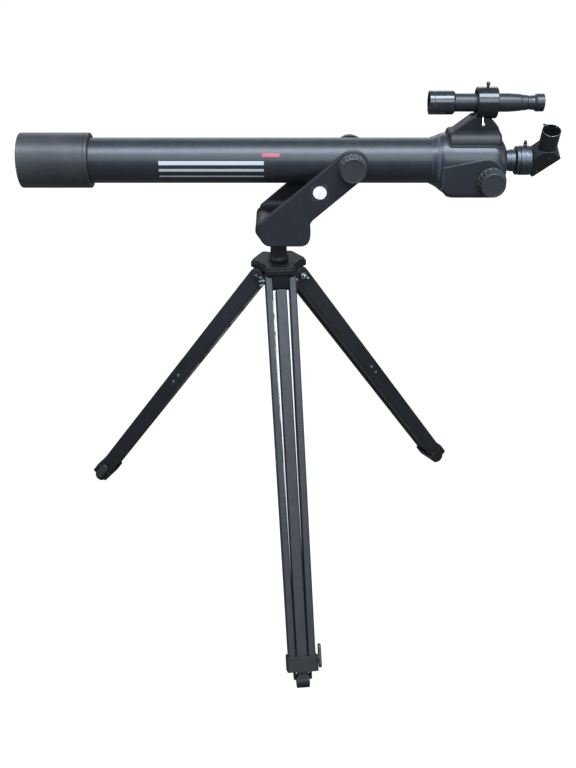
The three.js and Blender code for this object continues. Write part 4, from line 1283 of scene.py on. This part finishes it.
def brace_rivets(leg, place):
    """Bright eyelets in the brace holes of the two rails."""
    for letter, side in (("a", 1), ("b", -1)):
        for i, z in enumerate(BRACE_HOLES):
            half = RAIL.width / 2
            ends = sorted((side * (half - 0.8), side * (half + 0.4)))
            name = f"{leg}_eyelet_{letter}{i + 1}"
            eyelet = tube(name, 1.1, 2.3, *ends, 0.3, axis="Y", facets=32, move=rail_place(side) @ up_leg(z))
            eyelet.matrix_world = place
            fitting(eyelet, f"{leg}_rail_{letter}", FINISH["bright_steel"])


def leg(name):
    place = leg_place(name)
    pieces = {
        "rail_a": outer_rail(name + "_rail_a_bar", 1),
        "rail_b": outer_rail(name + "_rail_b_bar", -1),
        "inner_rail": inner_rail(name + "_inner_rail_bar"),
        "clamp": clamp(name + "_clamp_block"),
        "foot": foot(name + "_foot_disc"),
        "lock_screw": lock_screw(name + "_lock_screw_wing"),
        "hinge_bolt": hinge_bolt(name + "_hinge_bolt_turned"),
        "wing_nut": wing_nut(name + "_wing_nut_cast"),
    }
    for node, piece in pieces.items():
        piece.matrix_world = place
        # the front and left legs' hinge bolts and wing nuts get dark steel: painted shade, darker copies of
        # the right leg's bright hardware
        shaded_copy = name != "right" and node in ("hinge_bolt", "wing_nut")  # only one leg's stay bright
        stand_in(piece, f"{name}_{node}", FINISH["dark_steel"] if shaded_copy else None)
    brace_rivets(name, place)


# ---------- carried-over CAD nodes ----------
def dress_kept_nodes():
    """The hidden rack, pinion and mirror keep their CAD shape and get the finish of their slot."""
    for node in ("focus_rack", "pinion_shaft", "diagonal_mirror"):
        obj = frame["nodes"][node]
        obj.data.materials.clear()
        obj.data.materials.append(FINISH[SLOT_OF[node]])


# ---------- stage ----------
def floor():
    size = 12000
    ground = build("floor", [(-size, -size, 0), (size, -size, 0), (size, size, 0), (-size, size, 0)],
                   [(0, 1, 2, 3)])
    s = Shader("floor_pale")
    tone = s.mix(s.between(s.noise(3, 2), 0.3, 0.7), (0.985, 0.985, 0.985, 1), (1.0, 1.0, 1.0, 1))
    s.feed(s.skin.inputs["Emission Color"], tone)
    s.skin.inputs["Emission Strength"].default_value = 1.0
    ground.data.materials.append(s.finish((0.10, 0.10, 0.10, 1), 0.9, specular=0.0))
    ground.visible_glossy = False
    ground.visible_diffuse = False


def softbox(name, centre, target, size, power, colour):
    light = bpy.data.lights.new(name, "AREA")
    light.shape = "RECTANGLE"
    light.size, light.size_y = size
    light.energy = power
    light.color = colour
    obj = bpy.data.objects.new(name, light)
    obj.location = AZIMUTH_AXIS + Vector(centre)
    obj.rotation_euler = (Vector(target) - Vector(centre)).to_track_quat("-Z", "Y").to_euler()
    bpy.context.scene.collection.objects.link(obj)


def lights():
    middle = (0.0, 0.0, 0.55)
    softbox("sky", (0.1, -1.05, 3.0), middle, (3.2, 1.1), 165, (0.74, 0.86, 1.0))
    softbox("front", (0.3, -2.9, 2.4), middle, (3.0, 1.6), 70, (0.78, 0.88, 0.97))
    softbox("left", (-2.8, -0.8, 1.3), middle, (1.2, 1.6), 10, (0.85, 0.92, 1.0))
    softbox("right", (2.8, -0.3, 1.4), middle, (1.2, 1.6), 12, (1.0, 0.97, 0.92))
    softbox("back", (0.0, 3.0, 1.9), middle, (2.6, 1.4), 22, (0.85, 0.92, 1.0))


def world():
    """White to the camera, and a dim sky to the surfaces."""
    bpy.context.scene.world = bpy.data.worlds.new("studio")
    studio = bpy.context.scene.world
    studio.use_nodes = True
    tree = studio.node_tree
    background = tree.nodes["Background"]
    seen = tree.nodes.new("ShaderNodeBackground")
    seen.inputs["Color"].default_value = (1, 1, 1, 1)
    background.inputs["Color"].default_value = (0.90, 0.94, 1.0, 1)
    background.inputs["Strength"].default_value = 0.20
    path = tree.nodes.new("ShaderNodeLightPath")
    mix = tree.nodes.new("ShaderNodeMixShader")
    tree.links.new(path.outputs["Is Camera Ray"], mix.inputs[0])
    tree.links.new(background.outputs[0], mix.inputs[1])
    tree.links.new(seen.outputs[0], mix.inputs[2])
    tree.links.new(mix.outputs[0], tree.nodes["World Output"].inputs["Surface"])


def camera():
    """Stands in front of the telescope, looks along +Y and is tipped down."""
    data = bpy.data.cameras.new("camera")
    data.sensor_fit = "VERTICAL"
    data.sensor_height = 36.0
    data.lens = 46.3
    obj = bpy.data.objects.new("camera", data)
    obj.location = AZIMUTH_AXIS + Vector((0.0142, -1.4015, 1.0770))
    obj.rotation_euler = (math.radians(90 - 29.29), 0, 0)
    bpy.context.scene.collection.objects.link(obj)
    bpy.context.scene.camera = obj
    bpy.context.scene.view_settings.view_transform = "Standard"


def instrument():
    main_tube()
    tube_marks()
    dew_shield()
    objective()
    pivot_inserts()
    focuser_housing()
    drawtube()
    eyepiece_collar()
    collar_screw()
    focus_knobs()
    diagonal_nose()
    diagonal_housing()
    diagonal_pins()
    eyepiece_holder()
    holder_screw()
    finder_bracket()
    bracket_gap_shade()
    finder_screws()
    finder_optics()


def stand():
    fork_yoke()
    arm_sticker()
    altitude_knobs()
    tripod_hub()
    azimuth_bolt()
    for name in LEGS:
        leg(name)


instrument()
stand()
dress_kept_nodes()
floor()
lights()
world()
camera()
